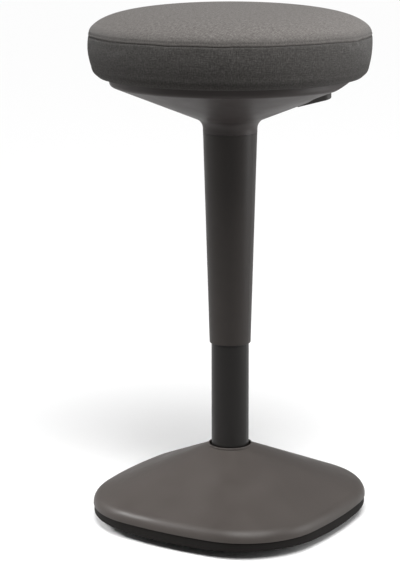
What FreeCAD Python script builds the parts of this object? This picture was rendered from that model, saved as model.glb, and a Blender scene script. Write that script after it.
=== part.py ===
import FreeCAD, Part
import math
import os
import Sketcher

# Wobble stool: a round padded seat on a gas lift, over a rounded square weighted foot
# that rocks on a domed rubber pad.
# Millimetres, Z up, X and Y square to the flats of the foot.
# The origin is on the floor, on the axis of the column, with the seat at its drawn height.

# Sub-parts, from the floor up:
# foot: rubber rocker pad, iron weight, tapered hub, moulded dome, dome screws
# column: outer tube, guide bush, thrust bearing, bump stop, piston rod, piston, washer, clip
# lift: gas cylinder, rod seal, valve pin, tapered cover sleeve
# seat: taper socket, mechanism bracket, seat plate, screws, tee nuts, plywood board, foam,
#       two sewn cover panels, moulded shell with its push-in clips
# lever: bent rod, grip paddle, pivot pin

# Driving dimensions. Every number named here gets a cell of the sheet, under its own name.

# Foot
foot_half_width = 167.0  # foot, from the axis to the middle of a side
foot_side_radius = 578.0  # foot outline, long arc of a side
foot_corner_radius = 110.0  # foot outline, arc of a corner
seam_height = 24.0  # floor to the line between dome and rubber pad
seam_gap = 0.8  # open line between dome and pad
pad_inset = 1.0  # pad outline inside the dome outline
pad_floor = 12.0  # rubber under the iron weight
pad_edge_round = 2.5  # lower edge of the pad
rocker_radius = 1200.0  # sphere that the pad rocks on
rest_radius = 60.0  # flat in the middle of the pad
weight_inset = 31.0  # weight outline inside the dome outline
weight_thickness = 14.0  # iron weight
weight_chamfer = 1.5  # upper edge of the weight
nest_clearance = 0.3  # between a piece and the recess that holds it
shoulder_rise = 11.6  # dome slope carried out to its side wall, above the seam
shoulder_round = 16.0  # shoulder of the dome
dome_wall = 3.0  # wall of the dome
dome_top_height = 97.5  # dome slope carried in to the collar
collar_radius = 29.6  # lip round the column, outside
collar_rise = 3.0  # lip above the dome slope carried in to it
collar_round = 0.8  # upper edges of the lip
collar_gap = 2.6  # open ring between lip and column
boss_reach = 135.0  # dome screw bosses from the axis, along the diagonals
boss_radius = 6.0  # dome screw boss
dome_screw_radius = 2.0  # dome screw thread
dome_screw_length = 24.0  # dome screw under its head
dome_screw_head = 4.2  # dome screw head radius
dome_screw_head_depth = 2.6  # dome screw head, countersunk

# Column tube and its seat in the foot
tube_radius = 25.0  # column tube, outside
tube_wall = 1.5  # column tube wall
tube_bottom = 18.0  # floor to the closed end of the tube
tube_floor = 3.0  # closed end of the tube
tube_top = 415.0  # floor to the open end of the tube
tube_end_radius = 23.4  # tube outside at its lower end, after the taper
hub_radius = 33.0  # hub, outside
hub_drop = 13.5  # hub, where the tube starts to taper, below the top of the dome slope
hub_chamfer = 2.0  # upper edge of the hub
bush_length = 80.0  # guide bush
bush_wall = 2.0  # inner and outer wall of the bush
bush_deck = 4.0  # deck that joins the walls of the bush
bush_rib_thickness = 2.0  # ribs of the bush
bush_rib_count = 6  # ribs of the bush

# Piston rod and the bearing that it turns on
run_clearance = 0.06  # running clearance on the radius
rod_radius = 5.0  # piston rod
neck_radius = 4.0  # lower end of the rod, through the bearing
race_radius = 15.0  # bearing races, outside
race_thickness = 1.5  # bearing race
ball_radius = 2.0  # bearing ball
ball_circle = 10.5  # circle of the balls
ball_count = 9  # balls in the bearing
cage_thickness = 1.6  # ball cage
cage_width = 6.4  # ball cage, from inside to outside
bump_radius = 17.0  # bump stop, outside
bump_height = 18.0  # bump stop
bump_waist = 3.0  # drawn-in waist of the bump stop
washer_radius = 10.0  # washer under the tube
washer_thickness = 1.5  # washer under the tube
clip_radius = 8.0  # retaining clip
clip_thickness = 1.2  # retaining clip
clip_groove = 0.9  # depth of the groove that holds the clip
clip_mouth_half_width = 2.5  # open side of the clip
rod_tail = 1.4  # rod below its clip
end_play = 0.1  # axial play across the turning faces
rod_top = 330.0  # floor to the top of the rod
piston_height = 12.0  # piston
piston_setback = 5.0  # rod above the piston
seal_groove = 1.4  # groove round the piston

# Gas cylinder
cylinder_radius = 14.0  # gas cylinder, outside
cylinder_wall = 2.5  # gas cylinder wall
cylinder_stand = 5.0  # gas cylinder above the underside of the bracket
cylinder_length = 420.0  # gas cylinder
cylinder_taper_length = 60.0  # taper that the seat sits on
cylinder_end_radius = 13.1  # cylinder at its upper end, after the taper
valve_block = 30.0  # closed end of the cylinder
cylinder_lip = 2.0  # rolled lip at the lower end
seal_height = 20.0  # rod seal and guide
valve_radius = 3.0  # valve pin
valve_length = 24.0  # valve pin
valve_reach = 4.5  # valve pin above the cylinder
valve_travel = 3.0  # how far the lever presses the valve pin
valve_round = 0.9  # tip of the valve pin

# Cover sleeve of the column
neck_depth = 75.0  # line between sleeve and seat shell, below the board
sleeve_length = 280.5  # sleeve under that line
sleeve_top_radius = 35.35  # sleeve at its top, outside
sleeve_bottom_radius = 27.4  # sleeve at its lower edge, outside
sleeve_wall = 1.9  # sleeve wall
sleeve_edge_round = 0.9  # lower edge of the sleeve
spigot_height = 7.0  # spigot of the sleeve, inside the neck of the shell

# Seat shell
shell_wall = 2.5  # seat shell wall
shell_neck_radius = 35.5  # neck of the shell, outside
shell_neck_gap = 0.3  # open line between sleeve and neck
shell_depth = 60.3  # slope of the shell, carried in to the neck, below the board
shell_neck_round = 14.0  # hollow between the neck and the slope
rim_setback = 24.0  # rim of the shell inside the side of the seat
rim_depth = 12.0  # slope of the shell, carried out to the rim, below the board
shell_rim_round = 5.0  # lower edge of the rim
flange_width = 26.0  # inner flange of the shell, from the rim
cover_gap = 0.1  # between the shell and the fabric above it
clip_setback = 18.0  # circle of the push-in clips inside the rim
clip_pitch_count = 6  # places for push-in clips, one of them left free for the lever
clip_pin_radius = 3.0  # push-in clip shank
clip_pin_length = 8.4  # push-in clip in the board
clip_head_radius = 6.0  # push-in clip head
clip_head_thickness = 1.6  # push-in clip head
clip_barb = 0.8  # barbs of the push-in clip
clip_barb_count = 3  # barbs of the push-in clip, one above another

# Lever recess of the shell, a wide scoop for the fingers
lever_azimuth = 45.0  # direction of the lever, in degrees from X
scoop_start = 84.0  # inner wall of the lever recess, from the axis
scoop_radius = 150.0  # hollow roof of the lever recess, an arc across the lever
scoop_gap = 0.3  # roof of the lever recess below the flange
slot_half_width = 7.0  # slot for the lever rod
slot_depth = 43.0  # lower end of the slot below the board
slot_height = 20.0  # slot for the lever rod

# Mechanism
socket_radius = 17.5  # taper socket, outside
socket_length = 52.0  # taper socket
bracket_depth = 33.0  # bracket under the seat plate
bracket_thickness = 2.5  # sheet of the bracket
bracket_half_width = 32.0  # half the width of the bracket
bracket_back = 38.0  # bracket behind the axis
bracket_front = 52.0  # bracket in front of the axis
plate_thickness = 3.0  # seat plate
plate_length = 200.0  # seat plate along the lever
plate_width = 150.0  # seat plate across the lever
plate_corner = 14.0  # corners of the seat plate
plate_window_length = 60.0  # window of the seat plate along the lever
plate_window_width = 46.0  # window of the seat plate across the lever
bolt_length_pitch = 160.0  # seat screws along the lever
bolt_width_pitch = 110.0  # seat screws across the lever
bolt_radius = 3.0  # seat screw thread
bolt_length = 13.0  # seat screw under its head
bolt_head_radius = 5.6  # seat screw head
bolt_head_height = 4.0  # seat screw head
bolt_socket_radius = 2.0  # key socket in the seat screw head
bolt_socket_depth = 2.4  # key socket in the seat screw head
nut_radius = 4.4  # tee nut barrel
nut_flange_radius = 9.0  # tee nut flange
nut_flange_thickness = 1.4  # tee nut flange

# Lever
pivot_distance = 32.0  # lever pivot from the axis
pivot_rise = 15.5  # lever pivot above the underside of the bracket
pivot_radius = 3.0  # lever pivot pin
pivot_head = 1.5  # heads of the pivot pin
pivot_head_radius = 4.6  # heads of the pivot pin
lever_rod_radius = 4.0  # lever rod
lever_eye_radius = 6.5  # eye of the lever round its pivot
lever_eye_width = 12.0  # eye of the lever along its pivot
lever_tip = 5.0  # lever rod past the axis
lever_touch = 0.4  # lever rod above the valve pin
lever_bend = 48.0  # first bend of the lever rod, from the axis
lever_dip = 90.0  # second bend of the lever rod, from the axis
lever_bend_radius = 14.0  # bends of the lever rod
lever_end = 122.0  # outer end of the lever rod, inside the paddle
paddle_start = 86.0  # inner end of the paddle, from the axis
paddle_end = 133.7  # outer end of the paddle
paddle_half_width = 21.0  # half the width of the paddle
paddle_depth = 42.6  # underside of the paddle at its inner end, below the board
paddle_rise = 9.7  # underside of the paddle, from its inner to its outer end
paddle_thickness = 9.6  # paddle, from underside to top
paddle_corner = 13.0  # outer corners of the paddle, seen from above
paddle_edge_round = 2.0  # edges of the paddle

# Seat board and upholstery
board_bottom = 596.0  # floor to the underside of the board
board_thickness = 12.0  # plywood board
foam_lip = 16.0  # foam round the edge of the board
board_chamfer = 1.0  # edges of the board
cover_thickness = 1.6  # cover fabric with its lining
foam_clearance = 0.2  # between foam and its neighbours
band_height = 39.0  # side band, from the seam to the round under the seat
seat_seam_radius = 183.5  # seat at the seam
crown_rise = 38.3  # crown above the seam
crown_power_across = 2.3  # roundness of the crown across
crown_power_up = 2.45  # roundness of the crown upwards
band_bulge = 1.6  # side band outside a straight line from seam to hem
hem_rise = 12.0  # start of the round under the seat, above the underside of the board
band_draw_in = 3.5  # side band, drawn in from the seam to the round under the seat
hem_round = 14.0  # round under the seat
tuck_width = 16.0  # fabric turned in under the board
stitch_depth = 1.1  # valley at a seam
stitch_width = 2.6  # valley at a seam, from edge to edge
topstitch_rise = 5.0  # stitched line above the seam

driving = {name: value for name, value in globals().items() if isinstance(value, (int, float))}

doc = FreeCAD.newDocument("WobbleStool")
sheet = doc.addObject("Spreadsheet::Sheet", "Sizes")


class Size:
    """A length that follows the sheet: the text of its expression, and its value in mm."""

    def __init__(self, text, value):
        self.text = text
        self.value = float(value)

    def __float__(self):
        return self.value

    def __add__(self, other):
        other = as_size(other)
        return Size("(%s + %s)" % (self.text, other.text), self.value + other.value)

    def __sub__(self, other):
        other = as_size(other)
        return Size("(%s - %s)" % (self.text, other.text), self.value - other.value)

    def __mul__(self, other):
        other = as_size(other)
        return Size("(%s * %s)" % (self.text, other.text), self.value * other.value)

    def __truediv__(self, other):
        other = as_size(other)
        return Size("(%s / %s)" % (self.text, other.text), self.value / other.value)

    def __radd__(self, other):
        return as_size(other) + self

    def __rsub__(self, other):
        return as_size(other) - self

    def __rmul__(self, other):
        return as_size(other) * self

    def __neg__(self):
        return as_size(0) - self


def as_size(item):
    """A plain number as a Size, and a Size as it is."""
    if isinstance(item, Size):
        return item
    return Size("%.6f" % item, item)


def root(item):
    """The square root of a size."""
    return Size("sqrt(%s)" % item.text, math.sqrt(item.value))


class Sizes:
    """The driving dimensions by name, each kept in one cell of the sheet."""


s = Sizes()
for row, (name, value) in enumerate(driving.items(), start=1):
    sheet.set("A%d" % row, name.replace("_", " "))
    sheet.set("B%d" % row, str(value))
    sheet.setAlias("B%d" % row, name)
    setattr(s, name, Size("Sizes." + name, value))

# Sizes that follow from others: heights in the foot hang on its seam and its slope, and
# heights in the seat on the underside of the board, so the seat rises and sinks as one
s.shoulder_height = s.seam_height + s.shoulder_rise
s.collar_height = s.dome_top_height + s.collar_rise
s.hub_top = s.dome_top_height - s.hub_drop
s.bracket_floor = s.board_bottom - s.plate_thickness - s.bracket_depth
s.pivot_height = s.bracket_floor + s.pivot_rise
s.cylinder_top = s.bracket_floor + s.cylinder_stand
s.cylinder_bottom = s.cylinder_top - s.cylinder_length
s.paddle_start_height = s.board_bottom - s.paddle_depth
s.paddle_end_height = s.paddle_start_height + s.paddle_rise
s.sleeve_top = s.board_bottom - s.neck_depth
s.sleeve_bottom = s.sleeve_top - s.sleeve_length
s.shell_cone_start = s.board_bottom - s.shell_depth
s.shell_cone_end = s.board_bottom - s.rim_depth
s.slot_bottom = s.board_bottom - s.slot_depth
s.slot_top = s.slot_bottom + s.slot_height
s.hem_height = s.board_bottom + s.hem_rise
s.seat_seam_height = s.hem_height + s.band_height
s.hem_radius = s.seat_seam_radius - s.band_draw_in
s.board_radius = s.hem_radius - s.foam_lip
s.shell_rim_radius = s.hem_radius - s.rim_setback
s.clip_circle = s.shell_rim_radius - s.clip_setback

doc.recompute()

upright = FreeCAD.Vector(0, 0, 1)
turned_to_lever = FreeCAD.Placement(
    FreeCAD.Vector(0, 0, 0), FreeCAD.Rotation(upright, float(s.lever_azimuth)))
sub_parts = []


# General helpers

def origin_plane(body, role):
    """One of the body's own origin planes, found by its role."""
    for feature in body.Origin.OriginFeatures:
        if feature.Role == role:
            return feature
    raise ValueError("no plane " + role)


def new_body(label):
    """An empty body that is one sub-part."""
    body = doc.addObject("PartDesign::Body", label)
    body.Label = label
    sub_parts.append(body)
    return body


def new_sketch(body, name, role, height=None):
    """A sketch on an origin plane of the body, moved off it by a height."""
    sketch = body.newObject("Sketcher::SketchObject", name)
    sketch.AttachmentSupport = [(origin_plane(body, role), "")]
    sketch.MapMode = "FlatFace"
    if height is not None:
        height = as_size(height)
        sketch.AttachmentOffset = FreeCAD.Placement(
            FreeCAD.Vector(0, 0, height.value), FreeCAD.Rotation())
        sketch.setExpression("AttachmentOffset.Base.z", height.text)
    return sketch


def bind(sketch, kind, places, size):
    """Adds a dimension that follows the sheet."""
    index = sketch.addConstraint(Sketcher.Constraint(kind, *places, size.value))
    sketch.setExpression("Constraints[%d]" % index, size.text)


def pin_point(sketch, curve, end, across, up):
    """Ties a point of a sketch curve to the sheet, measured from the sketch's origin."""
    for kind, axis, size in (("DistanceX", -2, as_size(across)), ("DistanceY", -1, as_size(up))):
        if abs(size.value) < 1e-9 and size.text.replace("0", "").replace(".", "") == "":
            sketch.addConstraint(Sketcher.Constraint("PointOnObject", curve, end, axis))
        else:
            bind(sketch, kind, (-1, 1, curve, end), size)


def draw_outline(sketch, corners):
    """A closed outline of straight lines, each corner tied to the sheet."""
    points = [FreeCAD.Vector(float(across), float(up), 0) for across, up in corners]
    count = len(points)
    first = sketch.GeometryCount
    for index in range(count):
        line = Part.LineSegment(points[index], points[(index + 1) % count])
        sketch.addGeometry(line, False)
    for index in range(count):
        following = (index + 1) % count
        sketch.addConstraint(Sketcher.Constraint("Coincident", first + index, 2, first + following, 1))
    for index, (across, up) in enumerate(corners):
        pin_point(sketch, first + index, 1, across, up)


def draw_box(sketch, left, right, low, high):
    """A closed rectangle tied to the sheet."""
    draw_outline(sketch, [(left, low), (right, low), (right, high), (left, high)])


def draw_circle(sketch, across, up, radius):
    """A circle tied to the sheet."""
    radius = as_size(radius)
    centre = FreeCAD.Vector(float(across), float(up), 0)
    curve = sketch.addGeometry(Part.Circle(centre, upright, radius.value), False)
    bind(sketch, "Radius", (curve,), radius)
    pin_point(sketch, curve, 3, across, up)


def pad(body, name, sketch, length, midplane=False):
    """Adds the sketch as a solid of the given length."""
    length = as_size(length)
    feature = body.newObject("PartDesign::Pad", name)
    feature.Profile = sketch
    feature.Length = length.value
    feature.setExpression("Length", length.text)
    feature.Midplane = midplane
    return feature


def pocket(body, name, sketch, length, upwards=False, midplane=False):
    """Cuts the sketch out of the body, and makes sure that it cuts."""
    doc.recompute()
    before = body.Shape.Volume
    length = as_size(length)
    feature = body.newObject("PartDesign::Pocket", name)
    feature.Profile = sketch
    feature.Length = length.value
    feature.setExpression("Length", length.text)
    feature.Reversed = upwards
    feature.Midplane = midplane
    doc.recompute()
    if body.Shape.Volume >= before:
        raise ValueError(name + " cuts nothing")
    return feature


def turned(body, name, corners, cutting=False):
    """Turns a closed outline, across and up, round the vertical axis."""
    sketch = new_sketch(body, name + "_outline", "XZ_Plane")
    draw_outline(sketch, corners)
    kind = "PartDesign::Groove" if cutting else "PartDesign::Revolution"
    feature = body.newObject(kind, name)
    feature.Profile = sketch
    feature.ReferenceAxis = (sketch, ["V_Axis"])
    feature.Angle = 360
    doc.recompute()
    return feature


def ring_edges(shape, radius, height):
    """Names of the shape's circles round the axis with that radius and height."""
    names = []
    for index, edge in enumerate(shape.Edges):
        box = edge.BoundBox
        flat = abs(box.ZMax - box.ZMin) < 1e-6 and abs(box.ZMax - float(height)) < 1e-4
        if flat and isinstance(edge.Curve, Part.Circle) and abs(edge.Curve.Radius - float(radius)) < 1e-4:
            names.append("Edge%d" % (index + 1))
    return names


def edges_beyond(shape, distance, low, high):
    """Numbers of the edges that reach beyond a distance, between two heights."""
    numbers = []
    for index, edge in enumerate(shape.Edges):
        box = edge.BoundBox
        reach = max(box.XMax, -box.XMin, box.YMax, -box.YMin)
        if reach > float(distance) and box.ZMin > float(low) and box.ZMax < float(high):
            numbers.append(index + 1)
    return numbers


def round_off(body, name, edges, radius, kind="PartDesign::Fillet"):
    """Rounds or chamfers the named edges of the body."""
    if not edges:
        raise ValueError(name + " finds no edge")
    radius = as_size(radius)
    below = body.Tip
    feature = body.newObject(kind, name)
    feature.Base = (below, edges)
    field = "Radius" if kind.endswith("Fillet") else "Size"
    setattr(feature, field, radius.value)
    feature.setExpression(field, radius.text)
    doc.recompute()
    return feature


def round_rings(body, name, rings, radius, kind="PartDesign::Fillet"):
    """Rounds or chamfers circular edges, given by radius and height."""
    edges = []
    for ring_radius, height in rings:
        edges.extend(ring_edges(body.Tip.Shape, ring_radius, height))
    return round_off(body, name, edges, radius, kind)


def polar(body, feature, name, count):
    """Repeats a feature of the body round the vertical axis."""
    pattern = body.newObject("PartDesign::PolarPattern", name)
    pattern.Originals = [feature]
    pattern.Axis = (feature.Profile[0], ["N_Axis"])
    pattern.Angle = 360
    pattern.Occurrences = int(count.value)
    pattern.setExpression("Occurrences", count.text)
    body.Tip = pattern
    doc.recompute()
    return pattern


def piece(label, shape, placement=None):
    """A sub-part that has its shape from Part's own functions."""
    feature = doc.addObject("Part::Feature", label)
    feature.Label = label
    feature.Shape = shape
    if placement is not None:
        feature.Placement = placement
    sub_parts.append(feature)
    return feature


def cylinder(radius, low, high, across=0.0, along=0.0):
    """An upright cylinder between two heights."""
    base = FreeCAD.Vector(float(across), float(along), float(low))
    return Part.makeCylinder(float(radius), float(high) - float(low), base, upright)


def turned_shape(edges):
    """Turns a closed chain of edges in the XZ plane round the vertical axis."""
    face = Part.Face(Part.Wire(edges))
    solid = face.revolve(FreeCAD.Vector(0, 0, 0), upright, 360)
    return Part.Solid(solid.Shells[0]) if solid.ShapeType != "Solid" else solid


def at(across, up):
    """A point of the XZ plane."""
    return FreeCAD.Vector(float(across), 0, float(up))


def chain(points):
    """Straight edges from each point to the next."""
    return [Part.LineSegment(first, second).toShape() for first, second in zip(points, points[1:])]


def around(shape, places):
    """Copies of a shape, moved to each place, as separate solids."""
    copies = []
    for place in places:
        copy = shape.copy()
        copy.translate(place)
        copies.append(copy)
    return Part.Compound(copies)


def circle_places(count, radius):
    """Evenly spaced places on a circle round the axis."""
    places = []
    for index in range(count):
        angle = 2 * math.pi * index / count
        places.append(FreeCAD.Vector(radius * math.cos(angle), radius * math.sin(angle), 0))
    return places


# Outline of the foot: four long side arcs and four corner arcs, all tangent

corner_bearing = math.pi / 4


def side_swing():
    """Half the angle of a side arc, where it meets the corner arc without a kink."""
    lean = (s.foot_half_width - s.foot_side_radius) / (s.foot_side_radius - s.foot_corner_radius)
    return corner_bearing + math.asin(lean.value / math.sqrt(2))


def outline_arcs(half_width, side_radius, corner_radius, height):
    """The eight arcs of the foot's outline, or of a circle where all three sizes agree."""
    swing = side_swing()
    side_centre = half_width - side_radius
    reach = side_radius - corner_radius
    arcs = []
    for quarter in range(4):
        turn = quarter * math.pi / 2
        ahead = FreeCAD.Vector(math.cos(turn), math.sin(turn), 0)
        centre = ahead * side_centre + FreeCAD.Vector(0, 0, height)
        bound = Part.Circle(centre, upright, side_radius)
        arcs.append(Part.ArcOfCircle(bound, turn - swing, turn + swing))
        lean = FreeCAD.Vector(math.cos(turn + swing), math.sin(turn + swing), 0)
        corner = Part.Circle(centre + lean * reach, upright, corner_radius)
        arcs.append(Part.ArcOfCircle(corner, turn + swing, turn + math.pi / 2 - swing))
    return arcs


def outline_wire(half_width, side_radius, corner_radius, height):
    """The foot's outline as a closed wire at a height."""
    arcs = outline_arcs(half_width, side_radius, corner_radius, height)
    return Part.Wire([arc.toShape() for arc in arcs])


def draw_foot_outline(sketch, inset):
    """The foot's outline in a sketch, inside the dome's outline by an inset."""
    half_width = s.foot_half_width - inset
    side_radius = s.foot_side_radius - inset
    corner_radius = s.foot_corner_radius - inset
    arcs = outline_arcs(half_width.value, side_radius.value, corner_radius.value, 0.0)
    first = sketch.GeometryCount
    sketch.addGeometry(arcs, False)
    for index in range(8):
        following = first + (index + 1) % 8
        sketch.addConstraint(Sketcher.Constraint("Tangent", first + index, 2, following, 1))
    for quarter in range(4):
        side = first + 2 * quarter
        axis = -1 if quarter % 2 == 0 else -2
        sketch.addConstraint(Sketcher.Constraint("PointOnObject", side, 3, axis))
        bind(sketch, "Distance", (-1, 1, side, 3), side_radius - half_width)
        bind(sketch, "Radius", (side,), side_radius)
        bind(sketch, "Radius", (side + 1,), corner_radius)


# Foot

def diagonal_places(reach):
    """The four places on the diagonals of the foot."""
    step = float(reach) / math.sqrt(2)
    return [FreeCAD.Vector(x * step, y * step, 0) for x in (-1, 1) for y in (-1, 1)]


def make_base_pad():
    """Rubber pad: a flat rest in the middle of a shallow sphere, and a recess for the weight."""
    block = doc.addObject("PartDesign::Body", "pad_block")
    outline = new_sketch(block, "pad_outline", "XY_Plane")
    draw_foot_outline(outline, s.pad_inset)
    pad(block, "pad_rubber", outline, s.seam_height - s.seam_gap)
    recess = new_sketch(block, "pad_recess_outline", "XY_Plane", s.pad_floor)
    draw_foot_outline(recess, s.weight_inset - s.nest_clearance)
    pocket(block, "pad_recess", recess, s.seam_height - s.pad_floor, upwards=True)
    rocker = doc.addObject("Part::Sphere", "rocker_sphere")
    rocker.Radius = s.rocker_radius.value
    rocker.setExpression("Radius", s.rocker_radius.text)
    rise = root(s.rocker_radius * s.rocker_radius - s.rest_radius * s.rest_radius)
    seam_up = FreeCAD.Rotation(FreeCAD.Vector(0, 1, 0), -90)
    rocker.Placement = FreeCAD.Placement(FreeCAD.Vector(0, 0, rise.value), seam_up)
    rocker.setExpression("Placement.Base.z", rise.text)
    common = doc.addObject("Part::MultiCommon", "pad_rocking")
    common.Shapes = [block, rocker]
    doc.recompute()
    beyond_recess = s.foot_half_width - s.weight_inset * 0.5
    pad_top = s.seam_height - s.seam_gap
    low_edges = edges_beyond(common.Shape, beyond_recess, 1e-3, pad_top - 1e-3)
    soft = doc.addObject("Part::Fillet", "base_pad")
    soft.Base = common
    soft.Edges = [(number, s.pad_edge_round.value, s.pad_edge_round.value) for number in low_edges]
    soft.Label = "base_pad"
    sub_parts.append(soft)
    doc.recompute()


def make_base_weight():
    """Iron weight, with a hole for the hub and countersunk holes for the dome screws."""
    body = new_body("base_weight")
    outline = new_sketch(body, "weight_outline", "XY_Plane", s.pad_floor)
    draw_foot_outline(outline, s.weight_inset)
    draw_circle(outline, 0, 0, s.hub_radius)
    pad(body, "weight_plate", outline, s.weight_thickness)
    holes = new_sketch(body, "screw_holes_outline", "XY_Plane", s.pad_floor)
    sinks = new_sketch(body, "screw_sinks_outline", "XY_Plane", s.pad_floor)
    for place in diagonal_places(1.0):
        across = s.boss_reach * place.x
        along = s.boss_reach * place.y
        draw_circle(holes, across, along, s.dome_screw_radius + s.nest_clearance)
        draw_circle(sinks, across, along, s.dome_screw_head + s.nest_clearance)
    pocket(body, "screw_holes", holes, s.weight_thickness, upwards=True)
    pocket(body, "screw_sinks", sinks, s.dome_screw_head_depth + s.nest_clearance, upwards=True)
    top = s.pad_floor + s.weight_thickness
    beyond_bosses = s.boss_reach / math.sqrt(2) + s.boss_radius
    numbers = edges_beyond(body.Tip.Shape, beyond_bosses, top - 1e-4, top + 1e-4)
    edges = ["Edge%d" % number for number in numbers]
    round_off(body, "weight_edge", edges, s.weight_chamfer, "PartDesign::Chamfer")


def taper_radius(height):
    """Outside radius of the tube's tapered end at a height."""
    share = (height - s.tube_bottom) / (s.hub_top - s.tube_bottom)
    return s.tube_end_radius + (s.tube_radius - s.tube_end_radius) * share


def make_hub_socket():
    """Steel hub with a tapered bore, welded into the weight."""
    body = new_body("hub_socket")
    turned(body, "hub_turning", [
        (taper_radius(s.pad_floor), s.pad_floor),
        (s.hub_radius, s.pad_floor),
        (s.hub_radius, s.hub_top),
        (s.tube_radius, s.hub_top)])
    round_rings(body, "hub_edge", [(s.hub_radius, s.hub_top)], s.hub_chamfer, "PartDesign::Chamfer")


def dome_form(inset):
    """The dome's form inside its outer skin by an inset: side wall, shoulder and slope."""
    slope = (s.dome_top_height - s.shoulder_height) / (s.foot_half_width - s.collar_radius)
    drop = inset * math.sqrt(1 + slope.value ** 2)
    low = s.seam_height.value
    outlines = []
    for height in (low, s.shoulder_height.value + inset * slope.value - drop):
        outlines.append(outline_wire(
            s.foot_half_width.value - inset,
            s.foot_side_radius.value - inset,
            s.foot_corner_radius.value - inset,
            height))
    top_radius = s.collar_radius.value
    outlines.append(outline_wire(top_radius, top_radius, top_radius, s.dome_top_height.value - drop))
    form = Part.makeLoft(outlines, True, True)
    shoulder = []
    for edge in form.Edges:
        box = edge.BoundBox
        level = box.ZMax - box.ZMin < 1e-4
        between = low + 1 < box.ZMax < s.dome_top_height.value - drop - 1
        if level and between:
            shoulder.append(edge)
    return form.makeFillet(s.shoulder_round.value - inset, shoulder)


def make_base_shell():
    """Moulded dome: a cone that grows from the round lip into the rounded square."""
    wall = s.dome_wall.value
    skin = dome_form(0.0)
    hollow = dome_form(wall)
    lip_low = s.dome_top_height.value - 2 * wall
    lip = cylinder(s.collar_radius, lip_low, s.collar_height)
    dome = skin.fuse(lip).cut(hollow.cut(lip))
    weight_top = s.pad_floor + s.weight_thickness
    for place in diagonal_places(s.boss_reach):
        boss = cylinder(s.boss_radius, weight_top, s.dome_top_height, place.x, place.y)
        dome = dome.fuse(boss.common(hollow))
    for place in diagonal_places(s.boss_reach):
        bore_top = s.pad_floor + s.dome_screw_length + s.nest_clearance * 2
        dome = dome.cut(cylinder(s.dome_screw_radius, weight_top - 1, bore_top, place.x, place.y))
    hole = cylinder(s.tube_radius + s.collar_gap, 0, s.collar_height + 1)
    dome = dome.cut(hole).removeSplitter()
    lip_edges = [edge for edge in dome.Edges
                 if abs(edge.BoundBox.ZMin - s.collar_height.value) < 1e-4]
    dome = dome.makeFillet(s.collar_round.value, lip_edges)
    piece("base_shell", dome.Solids[0])


def make_dome_screws():
    """Four countersunk screws, up through the weight into the dome's bosses."""
    low = s.pad_floor
    sunk = low + s.dome_screw_head_depth
    edges = chain([
        at(0, low), at(s.dome_screw_head, low), at(s.dome_screw_radius, sunk),
        at(s.dome_screw_radius, low + s.dome_screw_length), at(0, low + s.dome_screw_length), at(0, low)])
    piece("dome_screws", around(turned_shape(edges), diagonal_places(s.boss_reach)))


# Column

def make_column_tube():
    """Steel tube with a closed, tapered lower end."""
    body = new_body("column_tube")
    inner = s.tube_radius - s.tube_wall
    tapered = s.tube_end_radius - s.tube_wall
    hole = s.neck_radius + s.run_clearance
    turned(body, "tube_turning", [
        (hole, s.tube_bottom),
        (s.tube_end_radius, s.tube_bottom),
        (s.tube_radius, s.hub_top),
        (s.tube_radius, s.tube_top),
        (inner, s.tube_top),
        (inner, s.hub_top),
        (tapered, s.tube_bottom + s.tube_floor),
        (hole, s.tube_bottom + s.tube_floor)])
    round_rings(body, "tube_lip", [(s.tube_radius, s.tube_top)], s.tube_wall * 0.5)


def make_guide_bush():
    """Moulded bush in the top of the tube: two walls, a deck and ribs between them."""
    body = new_body("guide_bush")
    low = s.tube_top - s.bush_length
    bore = s.cylinder_radius + s.run_clearance
    outer = s.tube_radius - s.tube_wall
    turned(body, "bush_turning", [
        (bore, low),
        (bore + s.bush_wall, low),
        (bore + s.bush_wall, s.tube_top - s.bush_deck),
        (outer - s.bush_wall, s.tube_top - s.bush_deck),
        (outer - s.bush_wall, low),
        (outer, low),
        (outer, s.tube_top),
        (bore, s.tube_top)])
    rib_outline = new_sketch(body, "bush_rib_outline", "XY_Plane", low)
    draw_box(rib_outline, bore + s.bush_wall * 0.5, outer - s.bush_wall * 0.5,
             -s.bush_rib_thickness * 0.5, s.bush_rib_thickness * 0.5)
    rib = pad(body, "bush_rib", rib_outline, s.bush_length - s.bush_deck * 0.5)
    doc.recompute()
    polar(body, rib, "bush_ribs", s.bush_rib_count)


def bearing_heights():
    """Heights of the bearing's faces, from the floor of the tube up."""
    lower = s.tube_bottom + s.tube_floor
    balls = lower + s.race_thickness
    upper = balls + s.ball_radius * 2 + s.end_play
    return lower, balls, upper, upper + s.race_thickness


def make_bearing():
    """Thrust bearing at the foot of the rod: two races, and balls in their cage."""
    lower, balls, upper, above = bearing_heights()
    bore = s.neck_radius + s.run_clearance
    for label, low in (("bearing_race_lower", lower), ("bearing_race_upper", upper)):
        body = new_body(label)
        turned(body, label + "_turning", [
            (bore, low),
            (s.race_radius, low),
            (s.race_radius, low + s.race_thickness),
            (bore, low + s.race_thickness)])
    middle = balls + s.ball_radius
    inner = s.ball_circle - s.cage_width * 0.5
    outer = s.ball_circle + s.cage_width * 0.5
    half = s.cage_thickness * 0.5
    cage = cylinder(outer, middle - half, middle + half).cut(cylinder(inner, middle - half, middle + half))
    places = circle_places(int(s.ball_count.value), s.ball_circle.value)
    pocket_hole = cylinder(s.ball_radius + s.run_clearance, middle - half, middle + half)
    cage = cage.cut(around(pocket_hole, places))
    ball = Part.makeSphere(s.ball_radius.value, FreeCAD.Vector(0, 0, middle.value))
    balls_and_cage = [cage.Solids[0]] + around(ball, places).Solids
    piece("bearing_balls", Part.Compound(balls_and_cage))


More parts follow.
